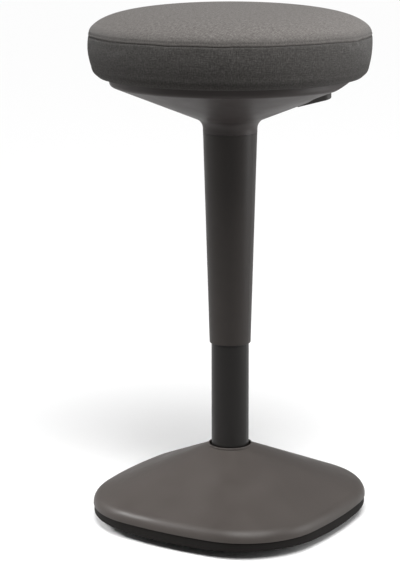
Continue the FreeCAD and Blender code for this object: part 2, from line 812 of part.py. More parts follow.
def make_bump_stop():
    """Rubber ring that ends the downward travel."""
    low = bearing_heights()[3]
    body = new_body("bump_stop")
    middle = low + s.bump_height * 0.5
    turned(body, "bump_turning", [
        (s.rod_radius, low),
        (s.bump_radius, low),
        (s.bump_radius - s.bump_waist, middle),
        (s.bump_radius, low + s.bump_height),
        (s.rod_radius, low + s.bump_height)])
    waist = [(s.bump_radius - s.bump_waist, middle)]
    round_rings(body, "bump_waist_round", waist, s.bump_waist)


def clip_heights():
    """Heights of the washer's and the clip's undersides."""
    washer = s.tube_bottom - s.end_play - s.washer_thickness
    return washer, washer - s.clip_thickness


def make_piston_rod():
    """Ground rod: full above the bearing, with a neck, a groove and a tail below it."""
    shoulder = bearing_heights()[3]
    washer, clip = clip_heights()
    groove = s.neck_radius - s.clip_groove
    body = new_body("piston_rod")
    turned(body, "rod_turning", [
        (0, clip - s.rod_tail),
        (s.neck_radius, clip - s.rod_tail),
        (s.neck_radius, clip),
        (groove, clip),
        (groove, washer),
        (s.neck_radius, washer),
        (s.neck_radius, shoulder),
        (s.rod_radius, shoulder),
        (s.rod_radius, s.rod_top),
        (0, s.rod_top)])


def make_rod_washer():
    """Washer between the tube's end and the clip."""
    washer = clip_heights()[0]
    body = new_body("rod_washer")
    turned(body, "washer_turning", [
        (s.neck_radius, washer),
        (s.washer_radius, washer),
        (s.washer_radius, washer + s.washer_thickness),
        (s.neck_radius, washer + s.washer_thickness)])


def make_rod_clip():
    """Open clip in the rod's groove."""
    clip = clip_heights()[1]
    groove = s.neck_radius - s.clip_groove
    body = new_body("rod_clip")
    turned(body, "clip_turning", [
        (groove, clip),
        (s.clip_radius, clip),
        (s.clip_radius, clip + s.clip_thickness),
        (groove, clip + s.clip_thickness)])
    mouth = new_sketch(body, "clip_mouth_outline", "XY_Plane", clip)
    draw_box(mouth, 0, s.clip_radius + s.clip_groove,
             -s.clip_mouth_half_width, s.clip_mouth_half_width)
    pocket(body, "clip_mouth", mouth, s.clip_thickness, upwards=True)


def make_piston():
    """Piston on the rod, with a groove for its seal."""
    low = s.rod_top - s.piston_setback - s.piston_height
    high = s.rod_top - s.piston_setback
    middle = (low + high) * 0.5
    outer = s.cylinder_radius - s.cylinder_wall - s.run_clearance
    body = new_body("piston")
    turned(body, "piston_turning", [
        (s.rod_radius, low),
        (outer, low),
        (outer, middle - s.seal_groove),
        (outer - s.seal_groove, middle - s.seal_groove),
        (outer - s.seal_groove, middle + s.seal_groove),
        (outer, middle + s.seal_groove),
        (outer, high),
        (s.rod_radius, high)])


# Lift

def make_gas_cylinder():
    """Pressure tube, tapered at the top for the seat, with a bore for the valve pin."""
    inner = s.cylinder_radius - s.cylinder_wall
    block = s.cylinder_top - s.valve_block
    bore = s.valve_radius + s.run_clearance
    bore_floor = s.cylinder_top + s.valve_reach - s.valve_length - s.valve_travel - s.nest_clearance
    taper = s.cylinder_top - s.cylinder_taper_length
    body = new_body("gas_cylinder")
    turned(body, "cylinder_turning", [
        (inner, s.cylinder_bottom),
        (s.cylinder_radius, s.cylinder_bottom),
        (s.cylinder_radius, taper),
        (s.cylinder_end_radius, s.cylinder_top),
        (bore, s.cylinder_top),
        (bore, bore_floor),
        (0, bore_floor),
        (0, block),
        (inner, block)])


def make_cylinder_seal():
    """Guide and seal that the rod runs in."""
    inner = s.cylinder_radius - s.cylinder_wall
    low = s.cylinder_bottom + s.cylinder_lip
    bore = s.rod_radius + s.run_clearance
    body = new_body("cylinder_seal")
    turned(body, "seal_turning", [
        (bore, low),
        (inner, low),
        (inner, low + s.seal_height),
        (bore + s.cylinder_lip, low + s.seal_height),
        (bore, low + s.seal_height - s.cylinder_lip)])


def make_valve_pin():
    """Pin that releases the gas when the lever presses it."""
    high = s.cylinder_top + s.valve_reach
    body = new_body("valve_pin")
    turned(body, "valve_turning", [
        (0, high - s.valve_length),
        (s.valve_radius, high - s.valve_length),
        (s.valve_radius, high),
        (0, high)])
    round_rings(body, "valve_tip", [(s.valve_radius, high)], s.valve_round)


def make_column_sleeve():
    """Tapered cover that hangs from the seat round the column, with a spigot at the top."""
    spigot = s.shell_neck_radius - s.shell_wall - s.nest_clearance
    top_inner = spigot - s.sleeve_wall
    body = new_body("column_sleeve")
    turned(body, "sleeve_turning", [
        (s.sleeve_bottom_radius - s.sleeve_wall, s.sleeve_bottom),
        (s.sleeve_bottom_radius, s.sleeve_bottom),
        (s.sleeve_top_radius, s.sleeve_top),
        (spigot, s.sleeve_top),
        (spigot, s.sleeve_top + s.spigot_height),
        (top_inner, s.sleeve_top + s.spigot_height),
        (top_inner, s.sleeve_top)])
    round_rings(body, "sleeve_edge", [(s.sleeve_bottom_radius, s.sleeve_bottom)], s.sleeve_edge_round)


# Seat mechanism

def make_taper_socket():
    """Steel socket that takes the cylinder's taper, welded into the bracket."""
    high = s.bracket_floor + s.bracket_thickness
    low = high - s.socket_length
    lean = (s.cylinder_radius - s.cylinder_end_radius) / s.cylinder_taper_length
    body = new_body("taper_socket")
    turned(body, "socket_turning", [
        (s.cylinder_end_radius + lean * (s.cylinder_top - low), low),
        (s.socket_radius, low),
        (s.socket_radius, high),
        (s.cylinder_end_radius + lean * (s.cylinder_top - high), high)])
    body.Placement = turned_to_lever


def make_mechanism_bracket():
    """Pressed channel under the seat plate that carries the socket and the lever's pivot."""
    top = s.board_bottom - s.plate_thickness
    body = new_body("mechanism_bracket")
    outline = new_sketch(body, "bracket_outline", "XY_Plane", s.bracket_floor)
    draw_box(outline, -s.bracket_back, s.bracket_front, -s.bracket_half_width, s.bracket_half_width)
    pad(body, "bracket_block", outline, top - s.bracket_floor)
    inside = s.bracket_half_width - s.bracket_thickness
    channel = new_sketch(body, "channel_outline", "XY_Plane", s.bracket_floor + s.bracket_thickness)
    draw_box(channel, s.bracket_thickness - s.bracket_back, s.bracket_front + 1, -inside, inside)
    pocket(body, "channel", channel, top - s.bracket_floor, upwards=True)
    hole = new_sketch(body, "socket_hole_outline", "XY_Plane", s.bracket_floor)
    draw_circle(hole, 0, 0, s.socket_radius)
    pocket(body, "socket_hole", hole, s.bracket_thickness, upwards=True)
    pivot = new_sketch(body, "pivot_hole_outline", "XZ_Plane")
    draw_circle(pivot, s.pivot_distance, s.pivot_height, s.pivot_radius)
    pocket(body, "pivot_hole", pivot, s.bracket_half_width * 2 + 2, midplane=True)
    body.Placement = turned_to_lever


def bolt_corners():
    """Signs of the four seat screw places."""
    return [(x, y) for x in (-1, 1) for y in (-1, 1)]


def bolt_places():
    """The four seat screw places, in the seat plate's own directions."""
    across = s.bolt_length_pitch.value / 2
    along = s.bolt_width_pitch.value / 2
    return [FreeCAD.Vector(x * across, y * along, 0) for x, y in bolt_corners()]


def draw_bolt_circles(sketch, radius):
    """A circle at each seat screw."""
    for x, y in bolt_corners():
        draw_circle(sketch, s.bolt_length_pitch * 0.5 * x, s.bolt_width_pitch * 0.5 * y, radius)


def make_seat_plate():
    """Steel plate under the board, with a window over the lever."""
    low = s.board_bottom - s.plate_thickness
    body = new_body("seat_plate")
    outline = new_sketch(body, "plate_outline", "XY_Plane", low)
    draw_box(outline, -s.plate_length * 0.5, s.plate_length * 0.5,
             -s.plate_width * 0.5, s.plate_width * 0.5)
    draw_box(outline, -s.plate_window_length * 0.5, s.plate_window_length * 0.5,
             -s.plate_window_width * 0.5, s.plate_window_width * 0.5)
    draw_bolt_circles(outline, s.bolt_radius + s.nest_clearance)
    pad(body, "plate_sheet", outline, s.plate_thickness)
    doc.recompute()
    corners = []
    for index, edge in enumerate(body.Tip.Shape.Edges):
        box = edge.BoundBox
        upright_edge = box.ZMax - box.ZMin > s.plate_thickness.value - 1e-3
        if upright_edge and box.XMax - box.XMin < 1e-3:
            if abs(abs(box.XMax) - s.plate_length.value / 2) < 1e-3:
                corners.append("Edge%d" % (index + 1))
    round_off(body, "plate_corners", corners, s.plate_corner)
    body.Placement = turned_to_lever


def make_seat_bolts():
    """Four socket screws, up through the plate into the tee nuts."""
    seat = s.board_bottom - s.plate_thickness
    low = seat - s.bolt_head_height
    screw = cylinder(s.bolt_head_radius, low, seat)
    screw = screw.fuse(cylinder(s.bolt_radius, seat, seat + s.bolt_length))
    screw = screw.cut(cylinder(s.bolt_socket_radius, low, low + s.bolt_socket_depth))
    piece("seat_bolts", around(screw.Solids[0], bolt_places()), turned_to_lever)


def make_tee_nuts():
    """Four tee nuts in the board."""
    top = s.board_bottom + s.board_thickness
    flange = top - s.nut_flange_thickness
    nut = cylinder(s.nut_radius, s.board_bottom + s.nest_clearance, flange)
    nut = nut.fuse(cylinder(s.nut_flange_radius, flange, top))
    nut = nut.cut(cylinder(s.bolt_radius, s.board_bottom, top))
    piece("tee_nuts", around(nut.Solids[0], bolt_places()), turned_to_lever)


# Lever

def lever_axis_height():
    """Height of the lever rod's middle over the valve pin."""
    return s.cylinder_top + s.valve_reach + s.lever_touch + s.lever_rod_radius


def paddle_slope():
    """Rise of the paddle for each millimetre outwards."""
    return (s.paddle_end_height - s.paddle_start_height) / (s.paddle_end - s.paddle_start)


def paddle_middle(distance):
    """Height of the paddle's middle at a distance from the axis."""
    return s.paddle_start_height + paddle_slope() * (distance - s.paddle_start) + s.paddle_thickness * 0.5


def lever_path(body, name):
    """The line that the lever rod follows, in the upright plane of the lever."""
    path = new_sketch(body, name, "XZ_Plane")
    level = lever_axis_height()
    stops = [
        (-s.lever_tip, level),
        (s.lever_bend, level),
        (s.lever_dip, paddle_middle(s.lever_dip)),
        (s.lever_end, paddle_middle(s.lever_end))]
    points = [FreeCAD.Vector(float(across), float(up), 0) for across, up in stops]
    for first, second in zip(points, points[1:]):
        path.addGeometry(Part.LineSegment(first, second), False)
    for index in range(2):
        path.addConstraint(Sketcher.Constraint("Coincident", index, 2, index + 1, 1))
    for index, (across, up) in enumerate(stops[:3]):
        pin_point(path, index, 1, across, up)
    pin_point(path, 2, 2, *stops[3])
    for index in range(2):
        first = len(path.Geometry)
        path.fillet(index, index + 1, points[index + 1] + (points[index] - points[index + 1]) * 0.1,
                    points[index + 1] + (points[index + 2] - points[index + 1]) * 0.1,
                    s.lever_bend_radius.value, True, True)
        for constraint_index, constraint in enumerate(path.Constraints):
            if constraint.Type == "Radius" and constraint.First == first:
                path.setExpression("Constraints[%d]" % constraint_index, s.lever_bend_radius.text)
    return path


def lever_pipe(body, name, radius, kind):
    """A round rod, or its bore, along the lever's line."""
    path = lever_path(body, name + "_path")
    section = new_sketch(body, name + "_section", "YZ_Plane", -s.lever_tip)
    draw_circle(section, 0, lever_axis_height(), radius)
    doc.recompute()
    feature = body.newObject(kind, name)
    feature.Profile = section
    feature.Spine = path
    doc.recompute()
    return feature


def make_lever_rod():
    """Bent steel rod with a flattened eye for its pivot."""
    body = new_body("lever_rod")
    lever_pipe(body, "rod_pipe", s.lever_rod_radius, "PartDesign::AdditivePipe")
    eye = new_sketch(body, "eye_outline", "XZ_Plane")
    draw_circle(eye, s.pivot_distance, s.pivot_height, s.lever_eye_radius)
    pad(body, "eye", eye, s.lever_eye_width, midplane=True)
    doc.recompute()
    hole = new_sketch(body, "eye_hole_outline", "XZ_Plane")
    draw_circle(hole, s.pivot_distance, s.pivot_height, s.pivot_radius + s.run_clearance)
    pocket(body, "eye_hole", hole, s.lever_eye_width * 2, midplane=True)
    body.Placement = turned_to_lever


def make_lever_paddle():
    """Moulded grip that follows the slope of the shell."""
    body = new_body("lever_paddle")
    side = new_sketch(body, "paddle_side", "XZ_Plane")
    draw_outline(side, [
        (s.paddle_start, s.paddle_start_height),
        (s.paddle_end, s.paddle_end_height),
        (s.paddle_end, s.paddle_end_height + s.paddle_thickness),
        (s.paddle_start, s.paddle_start_height + s.paddle_thickness)])
    pad(body, "paddle_block", side, s.paddle_half_width * 2, midplane=True)
    doc.recompute()
    corners = []
    for index, edge in enumerate(body.Tip.Shape.Edges):
        box = edge.BoundBox
        if box.XMin > s.paddle_end.value - 1e-3 and box.YMax - box.YMin < 1e-3:
            corners.append("Edge%d" % (index + 1))
    round_off(body, "paddle_corners", corners, s.paddle_corner)
    rims = []
    for index, edge in enumerate(body.Tip.Shape.Edges):
        box = edge.BoundBox
        upright_edge = box.XMax - box.XMin < 1e-3 and box.YMax - box.YMin < 1e-3
        if not upright_edge and box.XMax > s.paddle_start.value + 1:
            rims.append("Edge%d" % (index + 1))
    round_off(body, "paddle_rims", rims, s.paddle_edge_round)
    lever_pipe(body, "paddle_bore", s.lever_rod_radius, "PartDesign::SubtractivePipe")
    body.Placement = turned_to_lever


def make_lever_pin():
    """Pivot pin through the bracket and the lever's eye, with a head at each end."""
    half = s.bracket_half_width
    reach = half + s.pivot_head
    middle = FreeCAD.Vector(s.pivot_distance.value, -half.value, s.pivot_height.value)
    sideways = FreeCAD.Vector(0, 1, 0)
    pin = Part.makeCylinder(s.pivot_radius.value, 2 * half.value, middle, sideways)
    for start in (-reach.value, half.value):
        place = FreeCAD.Vector(s.pivot_distance.value, start, s.pivot_height.value)
        pin = pin.fuse(Part.makeCylinder(s.pivot_head_radius.value, s.pivot_head.value, place, sideways))
    piece("lever_pin", pin.removeSplitter().Solids[0], turned_to_lever)


# Seat

def make_seat_board():
    """Plywood board with seats for the tee nuts and holes for the push-in clips."""
    top = s.board_bottom + s.board_thickness
    body = new_body("seat_board")
    outline = new_sketch(body, "board_outline", "XY_Plane", s.board_bottom)
    draw_circle(outline, 0, 0, s.board_radius)
    draw_bolt_circles(outline, s.nut_radius)
    pad(body, "board_sheet", outline, s.board_thickness)
    seats = new_sketch(body, "nut_seats_outline", "XY_Plane", top)
    draw_bolt_circles(seats, s.nut_flange_radius)
    pocket(body, "nut_seats", seats, s.nut_flange_thickness)
    holes = new_sketch(body, "clip_holes_outline", "XY_Plane", s.board_bottom)
    draw_clip_circles(holes, s.clip_pin_radius + s.clip_barb)
    pocket(body, "clip_holes", holes, s.clip_pin_length + s.nest_clearance, upwards=True)
    rims = [(s.board_radius, s.board_bottom), (s.board_radius, top)]
    round_rings(body, "board_edges", rims, s.board_chamfer, "PartDesign::Chamfer")
    body.Placement = turned_to_lever


def crown_curve(inset):
    """The crown's line from the axis to the seam, inside the cover by an inset."""
    radius = s.seat_seam_radius.value - inset
    rise = s.crown_rise.value - inset
    steps = 9
    points = []
    for step in range(steps + 1):
        angle = math.pi / 2 * step / steps
        across = radius * math.sin(angle) ** (2 / s.crown_power_across.value)
        up = rise * math.cos(angle) ** (2 / s.crown_power_up.value) if step < steps else 0.0
        points.append(at(across, s.seat_seam_height.value + up))
    curve = Part.BSplineCurve()
    curve.interpolate(Points=points, InitialTangent=FreeCAD.Vector(1, 0, 0),
                      FinalTangent=FreeCAD.Vector(0, 0, -1))
    return curve.toShape(), points[0], points[-1]


def crown_radius(rise):
    """Radius of the crown at a height above the seam."""
    share = (rise / s.crown_rise.value) ** s.crown_power_up.value
    return s.seat_seam_radius.value * (1 - share) ** (1 / s.crown_power_across.value)


def band_curves(inset):
    """The side band's line from the seam down to the underside, inside the cover."""
    seam = at(s.seat_seam_radius - inset, s.seat_seam_height)
    hem = at(s.hem_radius - inset, s.hem_height)
    middle = (seam + hem) * 0.5 + FreeCAD.Vector(s.band_bulge.value, 0, 0)
    side = Part.Arc(seam, middle, hem).toShape()
    centre = s.hem_radius - s.hem_round
    radius = s.hem_round.value - inset
    slant = FreeCAD.Vector(math.sqrt(0.5), 0, -math.sqrt(0.5)) * radius
    low = at(centre, s.hem_height.value - radius)
    under = Part.Arc(hem, at(centre, s.hem_height) + slant, low).toShape()
    return side, under, seam, low


def valley(radius, height):
    """A narrow ring to cut along a seam."""
    width = s.stitch_width.value
    depth = s.stitch_depth.value
    edges = chain([
        at(radius - depth, height), at(radius + depth, height + width),
        at(radius + depth, height - width), at(radius - depth, height)])
    return turned_shape(edges)


def make_cover_top():
    """Crown panel of the cover, sewn to the side band and topstitched above the seam."""
    thickness = s.cover_thickness.value
    outer, outer_top, outer_seam = crown_curve(0.0)
    inner, inner_top, inner_seam = crown_curve(thickness)
    edges = [outer] + chain([outer_seam, inner_seam]) + [inner] + chain([inner_top, outer_top])
    skin = turned_shape(edges)
    seam = s.seat_seam_height.value
    skin = skin.cut(valley(s.seat_seam_radius.value, seam))
    skin = skin.cut(valley(crown_radius(s.topstitch_rise.value), seam + s.topstitch_rise.value))
    piece("cover_top", skin.Solids[0])


def make_cover_band():
    """Side band of the cover, drawn in under the board."""
    thickness = s.cover_thickness.value
    side, under, seam, low = band_curves(0.0)
    inner_side, inner_under, inner_seam, inner_low = band_curves(thickness)
    tuck = s.hem_radius - s.hem_round - s.tuck_width
    edges = [side, under]
    edges += chain([low, at(tuck, low.z), at(tuck, inner_low.z), inner_low])
    edges += [inner_under, inner_side]
    edges += chain([inner_seam, seam])
    skin = turned_shape(edges)
    skin = skin.cut(valley(s.seat_seam_radius.value, s.seat_seam_height.value))
    piece("cover_band", skin.Solids[0])


def make_seat_foam():
    """Moulded foam: the crown over the board, with a lip down round its edge."""
    inset = (s.cover_thickness + s.foam_clearance).value
    crown, top, seam = crown_curve(inset)
    side, under, _, low = band_curves(inset)
    board = s.board_radius + s.foam_clearance
    board_top = s.board_bottom + s.board_thickness + s.foam_clearance
    edges = [crown, side, under]
    edges += chain([low, at(board, low.z), at(board, board_top), at(0, board_top), top])
    piece("seat_foam", turned_shape(edges))


def shell_top():
    """Height of the shell's top, just under the fabric that is turned in under the seat."""
    return s.hem_height - s.hem_round - s.cover_gap


def shell_slope():
    """Rise of the shell's cone for each millimetre outwards."""
    return (s.shell_cone_end - s.shell_cone_start) / (s.shell_rim_radius - s.shell_neck_radius)


def shell_lift():
    """Upright distance between the cone's outer and inner faces."""
    return s.shell_wall * math.sqrt(1 + shell_slope().value ** 2)


def make_shell_funnel():
    """The turned funnel: neck, slope, rim and inner flange, with seats for the clips."""
    wall = s.shell_wall
    neck = s.shell_neck_radius
    rim = s.shell_rim_radius
    top = shell_top()
    start = s.shell_cone_start
    inner_start = start + shell_lift() - shell_slope() * wall
    inner_end = s.shell_cone_end + shell_lift() - shell_slope() * wall
    low = s.sleeve_top + s.shell_neck_gap
    body = doc.addObject("PartDesign::Body", "shell_funnel")
    turned(body, "funnel_turning", [
        (neck - wall, low),
        (neck, low),
        (neck, start),
        (rim, s.shell_cone_end),
        (rim, top),
        (rim - s.flange_width, top),
        (rim - s.flange_width, top - wall),
        (rim - wall, top - wall),
        (rim - wall, inner_end),
        (neck - wall, inner_start)])
    round_rings(body, "neck_hollow", [(neck, start)], s.shell_neck_round)
    round_rings(body, "rim_edge", [(rim, s.shell_cone_end)], s.shell_rim_round)
    round_rings(body, "neck_inside", [(neck - wall, inner_start)], s.shell_neck_round + wall)
    seats = new_sketch(body, "clip_seats_outline", "XY_Plane", top)
    draw_clip_circles(seats, s.clip_pin_radius)
    pocket(body, "clip_seats", seats, wall)
    return body


def make_shell_room():
    """The room inside the funnel, out to the middle of its wall."""
    wall = s.shell_wall
    neck = s.shell_neck_radius
    reach = s.shell_rim_radius - wall * 0.5
    start = s.shell_cone_start + shell_lift() * 0.5
    body = doc.addObject("PartDesign::Body", "shell_room")
    turned(body, "room_turning", [
        (neck, start),
        (reach, start + shell_slope() * (reach - neck)),
        (reach, shell_top()),
        (neck, shell_top())])
    return body


def place_along(item, across, along, up):
    """Ties the place of a Part object to the sheet."""
    for letter, size in (("x", across), ("y", along), ("z", up)):
        item.setExpression("Placement.Base." + letter, as_size(size).text)


def size_box(name, left, right, half_width, low, high):
    """A box tied to the sheet, even about the lever's plane."""
    box = doc.addObject("Part::Box", name)
    box.setExpression("Length", (right - left).text)
    box.setExpression("Width", (half_width * 2).text)
    box.setExpression("Height", (high - low).text)
    place_along(box, left, -half_width, low)
    return box


def scoop_form(name, radius, start):
    """What lies under the arched roof of the lever recess, outwards from a distance."""
    rim = s.shell_rim_radius
    middle = shell_top() - s.shell_wall - s.scoop_gap - s.scoop_radius
    barrel = doc.addObject("Part::Cylinder", name + "_barrel")
    barrel.setExpression("Radius", radius.text)
    barrel.setExpression("Height", (rim * 2).text)
    barrel.Placement.Rotation = FreeCAD.Rotation(FreeCAD.Vector(1, 0, 0), -90)
    place_along(barrel, rim, -rim, middle)
    block = size_box(name + "_block", start, rim * 2, rim, middle, middle + radius * 2)
    form = doc.addObject("Part::Common", name)
    form.Base = barrel
    form.Tool = block
    return form


def make_seat_shell():
    """Moulded funnel under the seat, with a wide scoop for the fingers round the lever."""
    start = s.scoop_start
    wall = s.shell_wall
    lining = doc.addObject("Part::Common", "scoop_lining")
    lining.Base = scoop_form("scoop_outside", s.scoop_radius + wall, start - wall)
    lining.Tool = make_shell_room()
    lined = doc.addObject("Part::Fuse", "lined_funnel")
    lined.Base = make_shell_funnel()
    lined.Tool = lining
    scooped = doc.addObject("Part::Cut", "scooped_funnel")
    scooped.Base = lined
    scooped.Tool = scoop_form("scoop_inside", s.scoop_radius, start)
    shell = doc.addObject("Part::Cut", "seat_shell")
    shell.Base = scooped
    shell.Tool = size_box("rod_slot", start - wall - s.scoop_gap, start + s.scoop_gap,
                          s.slot_half_width, s.slot_bottom, s.slot_top)
    shell.Refine = True
    shell.Label = "seat_shell"
    shell.Placement = turned_to_lever
    sub_parts.append(shell)
    doc.recompute()


def clip_bearings():
    """Directions of the push-in clips, in radians from the lever, which has none over it."""
    count = int(s.clip_pitch_count.value)
    return [2 * math.pi * index / count for index in range(1, count)]


def draw_clip_circles(sketch, radius):
    """A circle at each push-in clip."""
    for bearing in clip_bearings():
        draw_circle(sketch, s.clip_circle * math.cos(bearing), s.clip_circle * math.sin(bearing), radius)


def make_shell_clips():
    """Barbed push-in clips: each holds the shell's flange against the board."""
    flange = shell_top() - s.shell_wall
    high = s.board_bottom + s.clip_pin_length
    points = [
        at(0, flange - s.clip_head_thickness),
        at(s.clip_head_radius, flange - s.clip_head_thickness),
        at(s.clip_head_radius, flange),
        at(s.clip_pin_radius, flange),
        at(s.clip_pin_radius, s.board_bottom)]
    barbs = int(s.clip_barb_count.value)
    pitch = s.clip_pin_length / (barbs + 1)
    for barb in range(barbs):
        level = s.board_bottom + pitch * (barb + 0.5)
        points.append(at(s.clip_pin_radius, level))
        points.append(at(s.clip_pin_radius + s.clip_barb, level))
        points.append(at(s.clip_pin_radius, level + pitch - s.clip_barb))
    points += [at(s.clip_pin_radius, high), at(0, high)]
    points.append(points[0])
    clip = turned_shape(chain(points))
    reach = s.clip_circle.value
    places = [FreeCAD.Vector(math.cos(bearing), math.sin(bearing), 0) * reach
              for bearing in clip_bearings()]
    piece("shell_clips", around(clip, places), turned_to_lever)


make_base_pad()
make_base_weight()
make_hub_socket()
make_base_shell()
make_dome_screws()
make_column_tube()
make_guide_bush()
make_bearing()
make_bump_stop()
make_piston_rod()
make_rod_washer()
make_rod_clip()
make_piston()
make_gas_cylinder()
make_cylinder_seal()
make_valve_pin()
make_column_sleeve()
make_taper_socket()
make_mechanism_bracket()
make_seat_plate()
make_seat_bolts()
make_tee_nuts()
make_lever_rod()
make_lever_paddle()
make_lever_pin()
make_seat_board()
make_cover_top()
make_cover_band()
make_seat_foam()
make_seat_shell()
make_shell_clips()
doc.recompute()


# Every object and every sub-part is sound before anything is written

for item in doc.Objects:
    troubles = [state for state in item.State if state in ("Invalid", "Error")]
    if troubles:
        raise RuntimeError("%s: %s" % (item.Name, troubles))
for item in sub_parts:
    if item.Shape.isNull() or not item.Shape.isValid() or not item.Shape.Solids:
        raise RuntimeError(item.Label + " has no sound shape")

os.makedirs("parts", exist_ok=True)
for item in sub_parts:
    item.Shape.exportStep("parts/%s.step" % item.Label)
    volume = sum(solid.Volume for solid in item.Shape.Solids)
    box = item.Shape.BoundBox
    print("%-20s %3d solids %12.0f mm3  z %.1f to %.1f" % (
        item.Label, len(item.Shape.Solids), volume, box.ZMin, box.ZMax))
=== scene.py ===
"""Looks of a wobble stool: an upholstered round seat on a gas lift, over a rocking foot.

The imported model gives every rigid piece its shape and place. This script dresses those
pieces, upholsters the seat, and sets up the camera, the floor and the studio light.
"""
import logging
import math
from dataclasses import dataclass, field
from enum import Enum
from typing import Any, Dict, List, Optional, Sequence, Tuple, Union

import bmesh
import bpy
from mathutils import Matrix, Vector, noise


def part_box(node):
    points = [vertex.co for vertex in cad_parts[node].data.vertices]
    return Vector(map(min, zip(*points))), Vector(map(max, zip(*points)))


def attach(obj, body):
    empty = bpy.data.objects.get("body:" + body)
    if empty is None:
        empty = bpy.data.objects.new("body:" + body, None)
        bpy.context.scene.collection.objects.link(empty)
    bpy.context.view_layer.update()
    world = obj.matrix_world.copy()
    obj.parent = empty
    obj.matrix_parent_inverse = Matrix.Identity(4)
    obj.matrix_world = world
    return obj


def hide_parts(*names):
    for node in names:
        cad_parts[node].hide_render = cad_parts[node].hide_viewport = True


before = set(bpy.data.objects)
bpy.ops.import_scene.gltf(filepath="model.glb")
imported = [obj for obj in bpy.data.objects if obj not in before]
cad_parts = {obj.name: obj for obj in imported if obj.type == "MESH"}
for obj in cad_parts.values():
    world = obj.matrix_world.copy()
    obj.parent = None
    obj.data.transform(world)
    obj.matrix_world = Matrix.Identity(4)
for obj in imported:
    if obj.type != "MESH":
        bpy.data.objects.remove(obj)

log = logging.getLogger("stool")

MM = 0.001
TOUCHING = 1e-6  # metres under which two points are one
SAME_GIRTH = 1e-5  # metres under which two points lie on one ring of the cushion
WAVE_PERIOD = 0.314  # length of one band of a wave texture at scale 1

Place = Tuple[float, float, float]
Profile = List[Tuple[float, float]]
Sockets = Dict[Union[str, int], Any]


# Colour and node helpers


def linear(code: str) -> Tuple[float, float, float, float]:
    """Turns an sRGB hex colour into the linear colour that shaders take.

    Args:
        code: the colour as "#rrggbb".

    Returns:
        Red, green, blue and alpha, linear.
    """
    shares = [int(code[place:place + 2], 16) / 255 for place in (1, 3, 5)]
    parts = [share / 12.92 if share <= 0.04045 else ((share + 0.055) / 1.055) ** 2.4
             for share in shares]
    return (parts[0], parts[1], parts[2], 1.0)


def add_node(tree: bpy.types.NodeTree, kind: str, settings: Optional[Sockets] = None,
             links: Optional[Sockets] = None) -> bpy.types.Node:
    """Adds a node, sets its properties and sockets, and links what feeds it.

    Args:
        tree: the node tree.
        kind: the node's type name.
        settings: properties by name, and socket values by the socket's name or number.
        links: for each input socket's name or number, the output socket that feeds it.

    Returns:
        The new node.
    """
    node = tree.nodes.new(kind)
    for name, value in (settings or {}).items():
        if isinstance(name, int) or name in node.inputs:
            node.inputs[name].default_value = value
        else:
            setattr(node, name, value)
    for name, source in (links or {}).items():
        tree.links.new(source, node.inputs[name])
    return node


def new_material(name: str) -> Tuple[bpy.types.Material, bpy.types.NodeTree]:
    """Makes an empty node material.

    Args:
        name: what the real material is.

    Returns:
        The material and its emptied node tree.
    """
    material = bpy.data.materials.new(name)
    material.use_nodes = True
    material.node_tree.nodes.clear()
    return material, material.node_tree


def finish_surface(tree: bpy.types.NodeTree, shader: bpy.types.Node) -> None:
    """Links a shader to the material's output."""
    add_node(tree, "ShaderNodeOutputMaterial", {}, {"Surface": shader.outputs[0]})


def paint_ramp(node: bpy.types.Node, stops: Sequence[Tuple[float, str]]) -> None:
    """Sets the stops of a colour ramp.

    Args:
        node: the ramp.
        stops: each stop's place from 0 to 1 and its sRGB colour.
    """
    ramp = node.color_ramp
    while len(ramp.elements) < len(stops):
        ramp.elements.new(1.0)
    for element, (place, code) in zip(ramp.elements, stops):
        element.position = place
        element.color = linear(code)


# Finishes


@dataclass(frozen=True)
class Moulded:
    """A moulded plastic or rubber surface with a spark-eroded grain from its tool.

    The grain scatters the highlight and cloudy flow marks vary the gloss a little. The
    real grain is about 0.15 mm; it is drawn coarser, because finer would not show.
    """

    name: str
    colour: str
    worn_colour: str
    roughness: float
    specular: float
    ior: float = 1.49
    grain_mm: float = 1.1
    grain_depth_mm: float = 0.035
    cloud_mm: float = 46.0
    roughness_swing: float = 0.07

    def build(self) -> bpy.types.Material:
        """Makes the material.

        Returns:
            The material.
        """
        material, tree = new_material(self.name)
        place = add_node(tree, "ShaderNodeTexCoord").outputs["Object"]
        grain = add_node(tree, "ShaderNodeTexNoise",
                         {"Scale": 1 / (self.grain_mm * MM), "Detail": 3.0, "Roughness": 0.6},
                         {"Vector": place})
        cloud = add_node(tree, "ShaderNodeTexNoise",
                         {"Scale": 1 / (self.cloud_mm * MM), "Detail": 4.0, "Roughness": 0.55},
                         {"Vector": place})
        colour = add_node(tree, "ShaderNodeValToRGB", {}, {"Fac": cloud.outputs["Fac"]})
        paint_ramp(colour, [(0.3, self.colour), (0.72, self.worn_colour)])
        gloss = add_node(tree, "ShaderNodeMapRange",
                         {"From Min": 0.3, "From Max": 0.7,
                          "To Min": self.roughness - self.roughness_swing,
                          "To Max": self.roughness + self.roughness_swing},
                         {"Value": cloud.outputs["Fac"]})
        bump = add_node(tree, "ShaderNodeBump",
                        {"Strength": 0.6, "Distance": self.grain_depth_mm * MM},
                        {"Height": grain.outputs["Fac"]})
        shader = add_node(tree, "ShaderNodeBsdfPrincipled",
                          {"IOR": self.ior, "Specular IOR Level": self.specular},
                          {"Base Color": colour.outputs["Color"],
                           "Roughness": gloss.outputs["Result"],
                           "Normal": bump.outputs["Normal"]})
        finish_surface(tree, shader)
        return material


